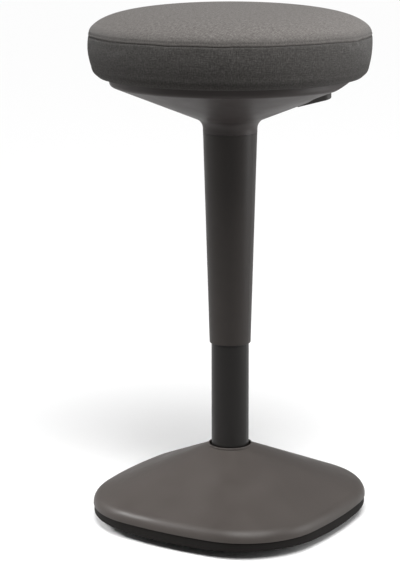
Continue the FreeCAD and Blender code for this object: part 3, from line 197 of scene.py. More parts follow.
@dataclass(frozen=True)
class Lacquered:
    """Steel under a satin lacquer, with the faint ripple that sprayed paint dries to."""

    name: str
    colour: str
    roughness: float
    ripple_mm: float = 3.2
    ripple_depth_mm: float = 0.012
    smoother_by: float = 0.05
    rougher_by: float = 0.06

    def build(self) -> bpy.types.Material:
        """Makes the material.

        Returns:
            The material.
        """
        material, tree = new_material(self.name)
        place = add_node(tree, "ShaderNodeTexCoord").outputs["Object"]
        ripple = add_node(tree, "ShaderNodeTexNoise",
                          {"Scale": 1 / (self.ripple_mm * MM), "Detail": 2.0},
                          {"Vector": place})
        gloss = add_node(tree, "ShaderNodeMapRange",
                         {"To Min": self.roughness - self.smoother_by,
                          "To Max": self.roughness + self.rougher_by},
                         {"Value": ripple.outputs["Fac"]})
        bump = add_node(tree, "ShaderNodeBump",
                        {"Strength": 0.5, "Distance": self.ripple_depth_mm * MM},
                        {"Height": ripple.outputs["Fac"]})
        shader = add_node(tree, "ShaderNodeBsdfPrincipled",
                          {"Base Color": linear(self.colour), "IOR": 1.5,
                           "Specular IOR Level": 0.2,
                           "Coat Weight": 0.06, "Coat Roughness": 0.22},
                          {"Roughness": gloss.outputs["Result"],
                           "Normal": bump.outputs["Normal"]})
        finish_surface(tree, shader)
        return material


@dataclass(frozen=True)
class BareMetal:
    """Turned, ground or plated metal, with the fine rings or scratches of its making."""

    name: str
    colour: str
    roughness: float
    line_mm: float = 0.6
    line_depth_mm: float = 0.01
    line_stretch: float = 0.08
    roughness_swing: float = 0.3

    def build(self) -> bpy.types.Material:
        """Makes the material.

        Returns:
            The material.
        """
        material, tree = new_material(self.name)
        place = add_node(tree, "ShaderNodeTexCoord").outputs["Object"]
        stretched = add_node(tree, "ShaderNodeMapping",
                             {"Scale": (self.line_stretch, self.line_stretch, 1.0)},
                             {"Vector": place})
        lines = add_node(tree, "ShaderNodeTexNoise",
                         {"Scale": 1 / (self.line_mm * MM), "Detail": 4.0},
                         {"Vector": stretched.outputs["Vector"]})
        gloss = add_node(tree, "ShaderNodeMapRange",
                         {"To Min": self.roughness * (1 - self.roughness_swing),
                          "To Max": self.roughness * (1 + self.roughness_swing)},
                         {"Value": lines.outputs["Fac"]})
        bump = add_node(tree, "ShaderNodeBump",
                        {"Strength": 0.5, "Distance": self.line_depth_mm * MM},
                        {"Height": lines.outputs["Fac"]})
        shader = add_node(tree, "ShaderNodeBsdfPrincipled",
                          {"Base Color": linear(self.colour), "Metallic": 1.0},
                          {"Roughness": gloss.outputs["Result"],
                           "Normal": bump.outputs["Normal"]})
        finish_surface(tree, shader)
        return material


@dataclass(frozen=True)
class CastIron:
    """A painted grey iron casting, rough from its sand mould."""

    name: str = "painted_grey_iron"
    colour: str = "#2b2b2c"
    sand_mm: float = 1.6
    sand_depth_mm: float = 0.25

    def build(self) -> bpy.types.Material:
        """Makes the material.

        Returns:
            The material.
        """
        material, tree = new_material(self.name)
        place = add_node(tree, "ShaderNodeTexCoord").outputs["Object"]
        sand = add_node(tree, "ShaderNodeTexNoise",
                        {"Scale": 1 / (self.sand_mm * MM), "Detail": 5.0, "Roughness": 0.7},
                        {"Vector": place})
        bump = add_node(tree, "ShaderNodeBump",
                        {"Strength": 0.8, "Distance": self.sand_depth_mm * MM},
                        {"Height": sand.outputs["Fac"]})
        shader = add_node(tree, "ShaderNodeBsdfPrincipled",
                          {"Base Color": linear(self.colour), "Roughness": 0.7},
                          {"Normal": bump.outputs["Normal"]})
        finish_surface(tree, shader)
        return material


@dataclass(frozen=True)
class BirchPlywood:
    """Birch plywood: pale long grain on the faces and darker lines of glue at the edge."""

    name: str = "birch_plywood"
    grain_mm: float = 2.2
    grain_stretch: Place = (0.05, 1.0, 0.2)
    ply_mm: float = 1.4
    glue_strength: float = 0.35

    def build(self) -> bpy.types.Material:
        """Makes the material.

        Returns:
            The material.
        """
        material, tree = new_material(self.name)
        place = add_node(tree, "ShaderNodeTexCoord").outputs["Object"]
        along = add_node(tree, "ShaderNodeMapping", {"Scale": self.grain_stretch},
                         {"Vector": place})
        grain = add_node(tree, "ShaderNodeTexNoise",
                         {"Scale": 1 / (self.grain_mm * MM), "Detail": 5.0, "Distortion": 0.4},
                         {"Vector": along.outputs["Vector"]})
        plies = add_node(tree, "ShaderNodeTexWave",
                         {"wave_type": "BANDS", "bands_direction": "Z",
                          "Scale": WAVE_PERIOD / (2 * self.ply_mm * MM), "Distortion": 0.3},
                         {"Vector": place})
        wood = add_node(tree, "ShaderNodeValToRGB", {}, {"Fac": grain.outputs["Fac"]})
        paint_ramp(wood, [(0.3, "#b8905f"), (0.7, "#d9bd92")])
        layered = add_node(tree, "ShaderNodeMix", {"data_type": "RGBA", "blend_type": "MULTIPLY",
                                                   "Factor": self.glue_strength},
                           {6: wood.outputs["Color"], 7: plies.outputs["Color"]})
        bump = add_node(tree, "ShaderNodeBump", {"Strength": 0.3, "Distance": 0.1 * MM},
                        {"Height": grain.outputs["Fac"]})
        shader = add_node(tree, "ShaderNodeBsdfPrincipled", {"Roughness": 0.6},
                          {"Base Color": layered.outputs[2],
                           "Normal": bump.outputs["Normal"]})
        finish_surface(tree, shader)
        return material


@dataclass(frozen=True)
class MouldedFoam:
    """Cold-cured polyurethane foam: cream skin with open cells and a faint mottle."""

    name: str = "moulded_foam"
    cell_mm: float = 1.2

    def build(self) -> bpy.types.Material:
        """Makes the material.

        Returns:
            The material.
        """
        material, tree = new_material(self.name)
        place = add_node(tree, "ShaderNodeTexCoord").outputs["Object"]
        cells = add_node(tree, "ShaderNodeTexVoronoi", {"Scale": 1 / (self.cell_mm * MM)},
                         {"Vector": place})
        mottle = add_node(tree, "ShaderNodeValToRGB", {}, {"Fac": cells.outputs["Distance"]})
        paint_ramp(mottle, [(0.1, "#a89768"), (0.5, "#d8caa0")])
        bump = add_node(tree, "ShaderNodeBump", {"Strength": 0.6, "Distance": 0.3 * MM},
                        {"Height": cells.outputs["Distance"]})
        shader = add_node(tree, "ShaderNodeBsdfPrincipled", {"Roughness": 0.95},
                          {"Base Color": mottle.outputs["Color"],
                           "Normal": bump.outputs["Normal"]})
        finish_surface(tree, shader)
        return material


@dataclass(frozen=True)
class MelangeCloth:
    """Plain woven upholstery cloth of melange yarn.

    Dark, middle and pale fibres are spun into one yarn, so its colour drifts along each
    thread, and the surface keeps a short fuzz. Threads lie about 0.9 mm apart in the real
    cloth; they are drawn at 1.25 mm, because finer would not show. Where the shade distances
    are set, painted shade darkens the cloth between those two distances from the middle of
    its panel, for the shade where the panel curves down into the seam.
    """

    name: str
    dark: str
    middle: str
    pale: str
    thread_mm: float = 1.25
    streak_mm: float = 7.0
    thread_depth_mm: float = 0.32
    crossing_softness: float = 0.35
    fleck_mm: float = 2.4
    fleck_share: float = 0.35
    sheen: float = 0.16
    # Painted shade towards the panel's edge: where it starts and ends in mm from the middle, its
    # strongest share, and its colour.
    painted_shade_mm: Optional[Tuple[float, float]] = None
    shade: float = 0.5
    painted_shade_colour: str = "#4a4846"

    def threads(self, tree: bpy.types.NodeTree, along_u: bool,
                place: bpy.types.NodeSocket) -> Tuple[bpy.types.NodeSocket, bpy.types.NodeSocket]:
        """Adds one set of parallel threads.

        Args:
            tree: the node tree.
            along_u: whether the threads run along the first direction of the cloth.
            place: the cloth's own coordinates, in metres.

        Returns:
            The drift of colour along the threads, and their rounded height.
        """
        fine = 1 / (self.thread_mm * MM)
        long = 1 / (self.streak_mm * MM)
        scale = (long, fine, 1.0) if along_u else (fine, long, 1.0)
        streaked = add_node(tree, "ShaderNodeMapping", {"Scale": scale}, {"Vector": place})
        drift = add_node(tree, "ShaderNodeTexNoise",
                         {"Scale": 1.0, "Detail": 3.0, "Roughness": 0.6},
                         {"Vector": streaked.outputs["Vector"]})
        ridges = add_node(tree, "ShaderNodeTexWave",
                          {"wave_type": "BANDS", "bands_direction": "Y" if along_u else "X",
                           "Scale": WAVE_PERIOD * fine, "Distortion": 0.5, "Detail": 1.0,
                           "Detail Scale": 0.4},
                          {"Vector": place})
        return drift.outputs["Fac"], ridges.outputs["Fac"]

    def shaded(self, tree: bpy.types.NodeTree, place: bpy.types.NodeSocket,
               tone: bpy.types.NodeSocket) -> bpy.types.NodeSocket:
        """Paints shade on the cloth towards its edge, where it curves down into the seam.

        Args:
            tree: the node tree.
            place: the cloth's own coordinates, in metres from the panel's middle.
            tone: the cloth's colour.

        Returns:
            The colour, with painted shade from the first distance to the second.
        """
        start, end = self.painted_shade_mm
        # The painted shade grows from nothing at the first distance to its full share at the second.
        reach = add_node(tree, "ShaderNodeVectorMath", {"operation": "LENGTH"}, {0: place})
        drawn = add_node(tree, "ShaderNodeMapRange",
                         {"interpolation_type": "SMOOTHSTEP", "From Min": start * MM,
                          "From Max": end * MM, "To Max": self.shade},
                         {"Value": reach.outputs["Value"]})
        darker = add_node(tree, "ShaderNodeMix", {"data_type": "RGBA", 7: linear(self.painted_shade_colour)},
                          {0: drawn.outputs["Result"], 6: tone})
        return darker.outputs[2]

    def build(self) -> bpy.types.Material:
        """Makes the material.

        Returns:
            The material.
        """
        material, tree = new_material(self.name)
        place = add_node(tree, "ShaderNodeUVMap", {"uv_map": "cloth"}).outputs["UV"]
        warp_drift, warp_ridge = self.threads(tree, False, place)
        weft_drift, weft_ridge = self.threads(tree, True, place)
        over = add_node(tree, "ShaderNodeMath", {"operation": "SUBTRACT"},
                        {0: warp_ridge, 1: weft_ridge})
        on_top = add_node(tree, "ShaderNodeMapRange",
                          {"From Min": -self.crossing_softness,
                           "From Max": self.crossing_softness}, {"Value": over.outputs[0]})
        drift = add_node(tree, "ShaderNodeMix", {"data_type": "FLOAT"},
                         {"Factor": on_top.outputs["Result"], "A": weft_drift, "B": warp_drift})
        fleck = add_node(tree, "ShaderNodeTexNoise",
                         {"Scale": 1 / (self.fleck_mm * MM), "Detail": 2.0, "Roughness": 0.7},
                         {"Vector": place})
        mixed = add_node(tree, "ShaderNodeMix",
                         {"data_type": "FLOAT", "Factor": self.fleck_share},
                         {"A": drift.outputs["Result"], "B": fleck.outputs["Fac"]})
        colour = add_node(tree, "ShaderNodeValToRGB", {}, {"Fac": mixed.outputs["Result"]})
        paint_ramp(colour, [(0.36, self.dark), (0.5, self.middle), (0.64, self.pale)])
        tone = colour.outputs["Color"]
        # Painted shade towards the crown's edge, where the shade distances are set.
        if self.painted_shade_mm:
            tone = self.shaded(tree, place, tone)
        height = add_node(tree, "ShaderNodeMath", {"operation": "MAXIMUM"},
                          {0: warp_ridge, 1: weft_ridge})
        bump = add_node(tree, "ShaderNodeBump",
                        {"Strength": 0.7, "Distance": self.thread_depth_mm * MM},
                        {"Height": height.outputs[0]})
        shader = add_node(tree, "ShaderNodeBsdfPrincipled",
                          {"Roughness": 0.92, "Specular IOR Level": 0.2,
                           "Sheen Weight": self.sheen, "Sheen Roughness": 0.55},
                          {"Base Color": tone, "Normal": bump.outputs["Normal"]})
        finish_surface(tree, shader)
        return material


@dataclass(frozen=True)
class TwistedThread:
    """Polyester sewing thread, its plies laid round each other."""

    name: str = "sewing_thread"
    colour: str = "#3b3836"
    lay_mm: float = 0.7

    def build(self) -> bpy.types.Material:
        """Makes the material.

        Returns:
            The material.
        """
        material, tree = new_material(self.name)
        place = add_node(tree, "ShaderNodeTexCoord").outputs["Object"]
        plies = add_node(tree, "ShaderNodeTexWave",
                         {"wave_type": "BANDS", "bands_direction": "DIAGONAL",
                          "Scale": WAVE_PERIOD / (self.lay_mm * MM)},
                         {"Vector": place})
        bump = add_node(tree, "ShaderNodeBump", {"Strength": 0.5, "Distance": 0.08 * MM},
                        {"Height": plies.outputs["Fac"]})
        shader = add_node(tree, "ShaderNodeBsdfPrincipled",
                          {"Base Color": linear(self.colour), "Roughness": 0.6,
                           "Sheen Weight": 0.2},
                          {"Normal": bump.outputs["Normal"]})
        finish_surface(tree, shader)
        return material


class Finish(Enum):
    """The finishes that the stool's pieces are made in."""

    # Spark-eroded polypropylene gives broad soft highlights and no clear mirror image.
    DOME = Moulded("polypropylene_dome", "#433e3b", "#47423f", 0.46, 0.34)
    SLEEVE = Moulded("polypropylene_sleeve", "#312d2b", "#35312f", 0.42, 0.26)
    SHELL = Moulded("polypropylene_shell", "#464140", "#4a4544", 0.46, 0.31)

    # Nylon and acetal are a little glossier, for a hand or a shaft that slides on them.
    PADDLE = Moulded("nylon_paddle", "#2b2826", "#2f2c2a", 0.45, 0.4, 1.53)
    BUSH = Moulded("acetal_bush", "#1d1c1b", "#211f1e", 0.4, 0.4)

    # Rubber is almost black and dull, with a deeper grain.
    PAD = Moulded("tpe_rocker_rubber", "#1c1a19", "#201e1d", 0.72, 0.12, 1.5, 1.4, 0.06)
    BUMP = Moulded("bump_stop_rubber", "#161514", "#1b1a19", 0.8, 0.2, 1.5, 1.4, 0.06)

    # Lacquer on steel shows a narrow satin streak along a tube.
    TUBE = Lacquered("black_lacquered_tube", "#1d1b1a", 0.36)
    CYLINDER = Lacquered("black_lacquered_cylinder", "#141414", 0.3)
    PLATE = Lacquered("powder_coated_plate", "#161616", 0.5, 1.4, 0.03)

    # Turned and ground metal glints in rings round its axis.
    PLAIN_STEEL = BareMetal("turned_mild_steel", "#a7a6a3", 0.34)
    GROUND_STEEL = BareMetal("hard_chromed_rod", "#c9c9c8", 0.14, 0.4, 0.004)
    ZINC = BareMetal("zinc_plated_screw", "#b9bcc0", 0.3)
    ALUMINIUM = BareMetal("turned_aluminium", "#d0d1d2", 0.28)
    IRON = CastIron()

    # Wood, foam, cloth and thread are matt; the cloth's fibres catch light at its edges.
    PLYWOOD = BirchPlywood()
    FOAM = MouldedFoam()
    # The crown cloth carries painted shade near the seam, where the panel curves down.
    CROWN_CLOTH = MelangeCloth("melange_wool_cloth", "#5b5754", "#76726f", "#928e8a",
                               painted_shade_mm=(176.0, 196.0))
    # The side band is the crown's cloth made darker: painted shade on the cushion's side.
    BAND_CLOTH = MelangeCloth("melange_wool_cloth_painted_side_shade", "#32302e", "#4a4846", "#625f5d")
    THREAD = TwistedThread()


class Wardrobe:
    """Makes each finish once and hands out its material."""

    def __init__(self) -> None:
        """Starts with nothing made."""
        self.made: Dict[Finish, bpy.types.Material] = {}

    def material(self, finish: Finish) -> bpy.types.Material:
        """Gives the material of a finish, made when it is first asked for.

        Args:
            finish: which finish.

        Returns:
            Its material.
        """
        if finish not in self.made:
            self.made[finish] = finish.value.build()
        return self.made[finish]

    def dress(self, item: bpy.types.Object, finish: Finish) -> None:
        """Puts one finish on the whole of an object."""
        item.data.materials.clear()
        item.data.materials.append(self.material(finish))


# Mesh helpers


def finished_object(name: str, mesh: bmesh.types.BMesh, smooth: bool = True) -> bpy.types.Object:
    """Turns a bmesh into an object at the origin.

    Args:
        name: the piece's name.
        mesh: its mesh, which is freed.
        smooth: whether its faces are shaded smooth.

    Returns:
        The linked object.
    """
    data = bpy.data.meshes.new(name)
    mesh.to_mesh(data)
    mesh.free()
    for face in data.polygons:
        face.use_smooth = smooth
    item = bpy.data.objects.new(name, data)
    bpy.context.scene.collection.objects.link(item)
    return item


def apply_modifiers(item: bpy.types.Object) -> None:
    """Applies every modifier of an object, in order.

    Args:
        item: the object.
    """
    bpy.ops.object.select_all(action="DESELECT")
    bpy.context.view_layer.objects.active = item
    item.select_set(True)
    for modifier in list(item.modifiers):
        bpy.ops.object.modifier_apply(modifier=modifier.name)


def spun(profile: Profile, steps: int, girth_layer: Optional[str] = None) -> bmesh.types.BMesh:
    """Turns a profile round the vertical axis.

    Args:
        profile: radius and height of each point, in metres, from the axis outwards.
        steps: how many faces go round.
        girth_layer: name of a vertex layer that keeps the length along the profile.

    Returns:
        The turned mesh, its points on the axis merged.
    """
    mesh = bmesh.new()
    layer = mesh.verts.layers.float.new(girth_layer) if girth_layer else None
    points = [mesh.verts.new((across, 0, up)) for across, up in profile]
    length = 0.0
    for first, second in zip(points, points[1:]):
        mesh.edges.new((first, second))
        length += (second.co - first.co).length
        if layer:
            second[layer] = length
    bmesh.ops.spin(mesh, geom=mesh.verts[:] + mesh.edges[:], cent=(0, 0, 0), axis=(0, 0, 1),
                   angle=2 * math.pi, steps=steps, use_merge=True)
    bmesh.ops.remove_doubles(mesh, verts=mesh.verts[:], dist=TOUCHING)
    bmesh.ops.recalc_face_normals(mesh, faces=mesh.faces[:])
    return in_order(mesh, girth_layer)


def in_order(mesh: bmesh.types.BMesh, layer_name: Optional[str]) -> bmesh.types.BMesh:
    """Rebuilds a mesh with its faces in a fixed order, so that a simulation repeats exactly.

    Args:
        mesh: the mesh, which is freed.
        layer_name: name of a vertex layer to keep.

    Returns:
        The same mesh, in order.
    """
    mesh.verts.index_update()
    ordered = bmesh.new()
    old_layer = mesh.verts.layers.float.get(layer_name) if layer_name else None
    new_layer = ordered.verts.layers.float.new(layer_name) if layer_name else None
    points = []
    for vert in mesh.verts:
        point = ordered.verts.new(vert.co)
        if new_layer:
            point[new_layer] = vert[old_layer]
        points.append(point)
    rings = []
    for face in mesh.faces:
        ring = [vert.index for vert in face.verts]
        first = ring.index(min(ring))
        rings.append(ring[first:] + ring[:first])
    for ring in sorted(rings):
        ordered.faces.new([points[index] for index in ring])
    mesh.free()
    return ordered


# The seat


@dataclass
class SeatCushion:
    """The upholstered seat: foam under a crown panel and a side band that are sewn together.

    Sizes are in millimetres and follow the photographed outline of the seat. The cloth is
    spun a little slack, and a cloth simulation swells it out to its final size.
    """

    wardrobe: Wardrobe
    seam_height: float = 647.0
    seam_radius: float = 183.5
    crown_rise: float = 38.3
    crown_across: float = 2.3
    crown_up: float = 2.45
    hem_height: float = 608.0
    hem_radius: float = 180.0
    hem_round: float = 14.0
    band_bulge: float = 1.6
    tuck_width: float = 16.0
    cloth_thickness: float = 1.6
    slack: float = 0.3
    pressure: float = 4.0
    cloth_quality: int = 6
    cloth_stretch: float = 15.0
    cloth_bending: float = 0.4
    swell_frames: int = 20
    swell_cap: float = 1.3
    held_reach: float = 2.5
    held_under: float = 1.0
    seam_width: float = 2.4
    seam_depth: float = 0.65
    seam_sharpness: float = 0.7
    topstitch_rise: float = 5.0
    topstitch_width: float = 2.2
    topstitch_depth: float = 0.7
    pucker_pitch: float = 7.0
    pucker_depth: float = 0.35
    pucker_reach: float = 14.0
    pucker_in_seam: float = 0.4
    pucker_seed: float = 3.1
    stitch_pitch: float = 3.4
    stitch_length: float = 2.5
    stitch_radius: float = 0.32
    foam_gap: float = 1.2
    board_gap: float = 0.4
    steps_round: int = 240
    foam_steps: int = 96
    rows_crown: int = 30
    rows_band: int = 10
    rows_hem: int = 6
    pieces: List[bpy.types.Object] = field(default_factory=list)

    def crown_profile(self, inset: float) -> Profile:
        """Points of the crown from the axis to the seam, inside the cloth by an inset.

        Args:
            inset: distance inside the cloth's outer face, in millimetres.

        Returns:
            Radius and height of each point, in metres.
        """
        points = []
        for row in range(self.rows_crown + 1):
            angle = math.pi / 2 * row / self.rows_crown
            across = (self.seam_radius - inset) * math.sin(angle) ** (2 / self.crown_across)
            up = (self.crown_rise - inset) * max(math.cos(angle), 0.0) ** (2 / self.crown_up)
            points.append((across * MM, (self.seam_height + up) * MM))
        return points

    def band_profile(self, inset: float) -> Profile:
        """Points of the side band from below the seam to its turned-in edge.

        Args:
            inset: distance inside the cloth's outer face, in millimetres.

        Returns:
            Radius and height of each point, in metres.
        """
        points = []
        for row in range(1, self.rows_band + 1):
            share = row / self.rows_band
            bulge = self.band_bulge * 4 * share * (1 - share)
            across = self.seam_radius + (self.hem_radius - self.seam_radius) * share + bulge
            up = self.seam_height + (self.hem_height - self.seam_height) * share
            points.append(((across - inset) * MM, up * MM))
        middle = self.hem_radius - self.hem_round
        radius = self.hem_round - inset
        for row in range(1, self.rows_hem + 1):
            angle = math.pi / 2 * row / self.rows_hem
            across = middle + radius * math.cos(angle)
            points.append((across * MM, (self.hem_height - radius * math.sin(angle)) * MM))
        edge = middle - self.tuck_width
        points.append((edge * MM, points[-1][1]))
        return points

    def whole_profile(self) -> Profile:
        """Points of the whole slack cushion, closed across the underside."""
        points = self.crown_profile(self.slack) + self.band_profile(self.slack)
        return points + [(0.0, points[-1][1])]

    def seam_girth(self) -> float:
        """Length along the slack profile from the middle of the crown to the seam."""
        points = self.crown_profile(self.slack)
        return sum(math.dist(first, second) for first, second in zip(points, points[1:]))

    def swell(self, item: bpy.types.Object) -> None:
        """Blows the cloth up with a cloth simulation and keeps the result.

        The seam and the turned-in edge are held, and no point moves further than the cap.

        Args:
            item: the slack cushion.
        """
        held = item.vertex_groups.new(name="held")
        seam = self.seam_girth()
        girths = item.data.attributes["girth"].data
        rest = [point.co.copy() for point in item.data.vertices]
        under = (self.hem_height - self.hem_round + self.slack + self.held_under) * MM
        for index, point in enumerate(rest):
            at_seam = abs(girths[index].value - seam) < self.held_reach * MM
            if at_seam or point.z < under:
                held.add([index], 1.0, "REPLACE")
        cloth = item.modifiers.new("Cloth", "CLOTH")
        cloth.settings.vertex_group_mass = "held"
        cloth.settings.use_pressure = True
        cloth.settings.uniform_pressure_force = self.pressure
        cloth.settings.effector_weights.gravity = 0.0
        cloth.settings.quality = self.cloth_quality
        cloth.settings.tension_stiffness = self.cloth_stretch
        cloth.settings.compression_stiffness = self.cloth_stretch
        cloth.settings.bending_stiffness = self.cloth_bending
        cloth.collision_settings.use_collision = False
        cloth.point_cache.frame_start = 1
        cloth.point_cache.frame_end = self.swell_frames
        scene = bpy.context.scene
        for step in range(1, self.swell_frames + 1):
            scene.frame_set(step)
        apply_modifiers(item)
        scene.frame_set(1)
        cap = self.swell_cap * MM
        for point, start in zip(item.data.vertices, rest):
            moved = point.co - start
            if moved.length > cap:
                point.co = start + moved.normalized() * cap

    def refine(self, item: bpy.types.Object) -> None:
        """Subdivides the cushion once and applies it.

        Args:
            item: the swollen cushion.
        """
        smoother = item.modifiers.new("Smoother", "SUBSURF")
        smoother.levels = 1
        smoother.render_levels = 1
        smoother.use_limit_surface = False
        apply_modifiers(item)

    def sew(self, item: bpy.types.Object) -> None:
        """Draws in the seam and the topstitched line above it, with small puckers.

        Args:
            item: the refined cushion.
        """
        seam = self.seam_girth()
        girths = item.data.attributes["girth"].data
        half_seam = self.seam_width / 2 * MM
        half_stitch = self.topstitch_width / 2 * MM
        for index, point in enumerate(item.data.vertices):
            offset = girths[index].value - seam
            outward = Vector((point.co.x, point.co.y, 0)).normalized()
            bearing = math.atan2(point.co.y, point.co.x)
            waves = bearing * self.seam_radius / self.pucker_pitch
            pucker = noise.noise(Vector((waves, 0.0, self.pucker_seed))) * self.pucker_depth * MM
            depth = 0.0
            in_seam = abs(offset) < half_seam
            if in_seam:
                closeness = (1 - abs(offset) / half_seam) ** self.seam_sharpness
                depth += self.seam_depth * MM * closeness
            above = offset + self.topstitch_rise * MM
            if abs(above) < half_stitch:
                depth += self.topstitch_depth * MM * (1 - abs(above) / half_stitch)
            reach = max(0.0, 1 - abs(offset) / (self.pucker_reach * MM))
            point.co -= outward * depth
            point.co += outward * pucker * reach * (self.pucker_in_seam if in_seam else 1.0)

    def map_cloth(self, mesh: bmesh.types.BMesh, crown: bool) -> None:
        """Lays the cloth's own coordinates on a panel, in metres along its threads.

        Args:
            mesh: the panel.
            crown: whether it is the round top panel, which is cut flat, or the side band.
        """
        layer = mesh.loops.layers.uv.new("cloth")
        girth = mesh.verts.layers.float["girth"]
        around = self.seam_radius * MM
        for face in mesh.faces:
            middle = face.calc_center_median()
            facing = math.atan2(middle.y, middle.x)
            for loop in face.loops:
                point = loop.vert.co
                if crown:
                    across = math.hypot(point.x, point.y)
                    stretch = loop.vert[girth] / across if across > TOUCHING else 1.0
                    loop[layer].uv = (point.x * stretch, point.y * stretch)
                    continue
                bearing = math.atan2(point.y, point.x)
                if bearing - facing > math.pi:
                    bearing -= 2 * math.pi
                elif facing - bearing > math.pi:
                    bearing += 2 * math.pi
                loop[layer].uv = (bearing * around, loop.vert[girth])

    def panel(self, item: bpy.types.Object, name: str, crown: bool) -> bpy.types.Object:
        """Cuts one panel out of the sewn cushion and gives it the cloth's thickness.

        Args:
            item: the sewn cushion.
            name: the panel's name.
            crown: whether it is the round top panel or the side band.

        Returns:
            The panel, closed.
        """
        mesh = bmesh.new()
        mesh.from_mesh(item.data)
        girth = mesh.verts.layers.float["girth"]
        seam = self.seam_girth()
        last = seam + self.band_length()
        unwanted = []
        for face in mesh.faces:
            middle = sum(vert[girth] for vert in face.verts) / len(face.verts)
            is_crown = middle < seam
            if is_crown != crown or middle > last:
                unwanted.append(face)
        bmesh.ops.delete(mesh, geom=unwanted, context="FACES")
        self.map_cloth(mesh, crown)
        panel = finished_object(name, mesh)
        cloth = panel.modifiers.new("Cloth_thickness", "SOLIDIFY")
        cloth.thickness = self.cloth_thickness * MM
        cloth.offset = -1.0
        self.wardrobe.dress(panel, Finish.CROWN_CLOTH if crown else Finish.BAND_CLOTH)
        return panel

    def band_length(self) -> float:
        """Length along the slack profile from the seam to the band's turned-in edge."""
        points = [self.crown_profile(self.slack)[-1]] + self.band_profile(self.slack)
        return sum(math.dist(first, second) for first, second in zip(points, points[1:]))

    def foam(self) -> bpy.types.Object:
        """Builds the moulded foam under the cloth, open below for the board.

        Returns:
            The foam, closed.
        """
        inset = self.cloth_thickness + self.slack + self.foam_gap
        board_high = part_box("seat_board")[1]
        edge = board_high.x + self.board_gap * MM
        top = board_high.z + self.board_gap * MM
        profile = self.crown_profile(inset) + self.band_profile(inset)[:-1]
        profile += [(edge, profile[-1][1]), (edge, top), (0.0, top)]
        foam = finished_object("seat_foam_core", spun(profile, self.foam_steps))
        self.wardrobe.dress(foam, Finish.FOAM)
        return foam

    def stitch_line(self, item: bpy.types.Object) -> List[Vector]:
        """Finds the line that the topstitching follows on the sewn cushion.

        Args:
            item: the sewn cushion.

        Returns:
            Points of the line, in order of their bearing from -180 degrees.
        """
        girths = [girth.value for girth in item.data.attributes["girth"].data]
        wanted = self.seam_girth() - self.topstitch_rise * MM
        nearest = min(girths, key=lambda girth: abs(girth - wanted))
        line = [point.co.copy() for point, girth in zip(item.data.vertices, girths)
                if abs(girth - nearest) < SAME_GIRTH]
        return sorted(line, key=lambda point: math.atan2(point.y, point.x))

    def stitches(self, line: Sequence[Vector]) -> bpy.types.Object:
        """Builds the topstitching above the seam, one small thread after another.

        Args:
            line: the points that it follows, in order of their bearing.

        Returns:
            All the stitches as one piece.
        """
        across = sum(math.hypot(point.x, point.y) for point in line) / len(line)
        height = sum(point.z for point in line) / len(line)
        count = round(2 * math.pi * across / (self.stitch_pitch * MM))
        mesh = bmesh.new()
        bmesh.ops.create_icosphere(mesh, subdivisions=1, radius=self.stitch_radius * MM)
        long = self.stitch_length / (2 * self.stitch_radius)
        bmesh.ops.scale(mesh, vec=(1.0, long, 1.0), verts=mesh.verts[:])
        bmesh.ops.translate(mesh, vec=(across, 0, height), verts=mesh.verts[:])
        whole = mesh.verts[:] + mesh.edges[:] + mesh.faces[:]
        bmesh.ops.spin(mesh, geom=whole, cent=(0, 0, 0), axis=(0, 0, 1),
                       angle=2 * math.pi * (count - 1) / count, steps=count - 1,
                       use_duplicate=True)
        for vert in mesh.verts:
            turn = math.atan2(vert.co.y, vert.co.x) / (2 * math.pi) + 0.5
            near = line[int(turn * len(line)) % len(line)]
            outward = Vector((vert.co.x, vert.co.y, 0)).normalized()
            vert.co += outward * (math.hypot(near.x, near.y) - across)
            vert.co.z += near.z - height
        stitches = finished_object("seat_topstitching", mesh)
        self.wardrobe.dress(stitches, Finish.THREAD)
        return stitches

    def build(self) -> None:
        """Builds the upholstery and puts it in the place of the plain soft pieces."""
        slack = finished_object("seat_slack", spun(self.whole_profile(), self.steps_round, "girth"))
        self.swell(slack)
        self.refine(slack)
        self.sew(slack)
        crown = self.panel(slack, "seat_crown_panel", True)
        band = self.panel(slack, "seat_side_band", False)
        stitches = self.stitches(self.stitch_line(slack))
        bpy.data.objects.remove(slack)
        foam = self.foam()
        self.pieces = [crown, band, foam, stitches]
        for item in self.pieces:
            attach(item, "seat")
        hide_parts("cover_top")
        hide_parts("cover_band")
        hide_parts("seat_foam")


# The rigid pieces


@dataclass
class RigidPieces:
    """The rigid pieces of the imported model, each in the finish of the real one."""

    wardrobe: Wardrobe
    finishes: Dict[str, Finish] = field(default_factory=lambda: {
        "base_pad": Finish.PAD,
        "base_weight": Finish.IRON,
        "hub_socket": Finish.PLAIN_STEEL,
        "base_shell": Finish.DOME,
        "dome_screws": Finish.ZINC,
        "column_tube": Finish.TUBE,
        "guide_bush": Finish.BUSH,
        "bearing_race_lower": Finish.PLAIN_STEEL,
        "bearing_race_upper": Finish.PLAIN_STEEL,
        "bearing_balls": Finish.GROUND_STEEL,
        "bump_stop": Finish.BUMP,
        "piston_rod": Finish.GROUND_STEEL,
        "rod_washer": Finish.PLAIN_STEEL,
        "rod_clip": Finish.PLAIN_STEEL,
        "piston": Finish.ALUMINIUM,
        "gas_cylinder": Finish.CYLINDER,
        "cylinder_seal": Finish.BUSH,
        "column_sleeve": Finish.SLEEVE,
        "taper_socket": Finish.PLATE,
        "mechanism_bracket": Finish.PLATE,
        "seat_plate": Finish.PLATE,
        "seat_bolts": Finish.ZINC,
        "tee_nuts": Finish.ZINC,
        "lever_pin": Finish.PLAIN_STEEL,
        "seat_board": Finish.PLYWOOD,
        "seat_shell": Finish.SHELL,
        "shell_clips": Finish.BUSH,
        "lever_rod": Finish.PLATE,
        "lever_paddle": Finish.PADDLE,
        "valve_pin": Finish.GROUND_STEEL,
    })

    def build(self) -> None:
        """Dresses and reports each piece."""
        for name, finish in self.finishes.items():
            self.wardrobe.dress(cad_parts[name], finish)
            log.info("%s: %s", name, finish.value.name)


# The studio


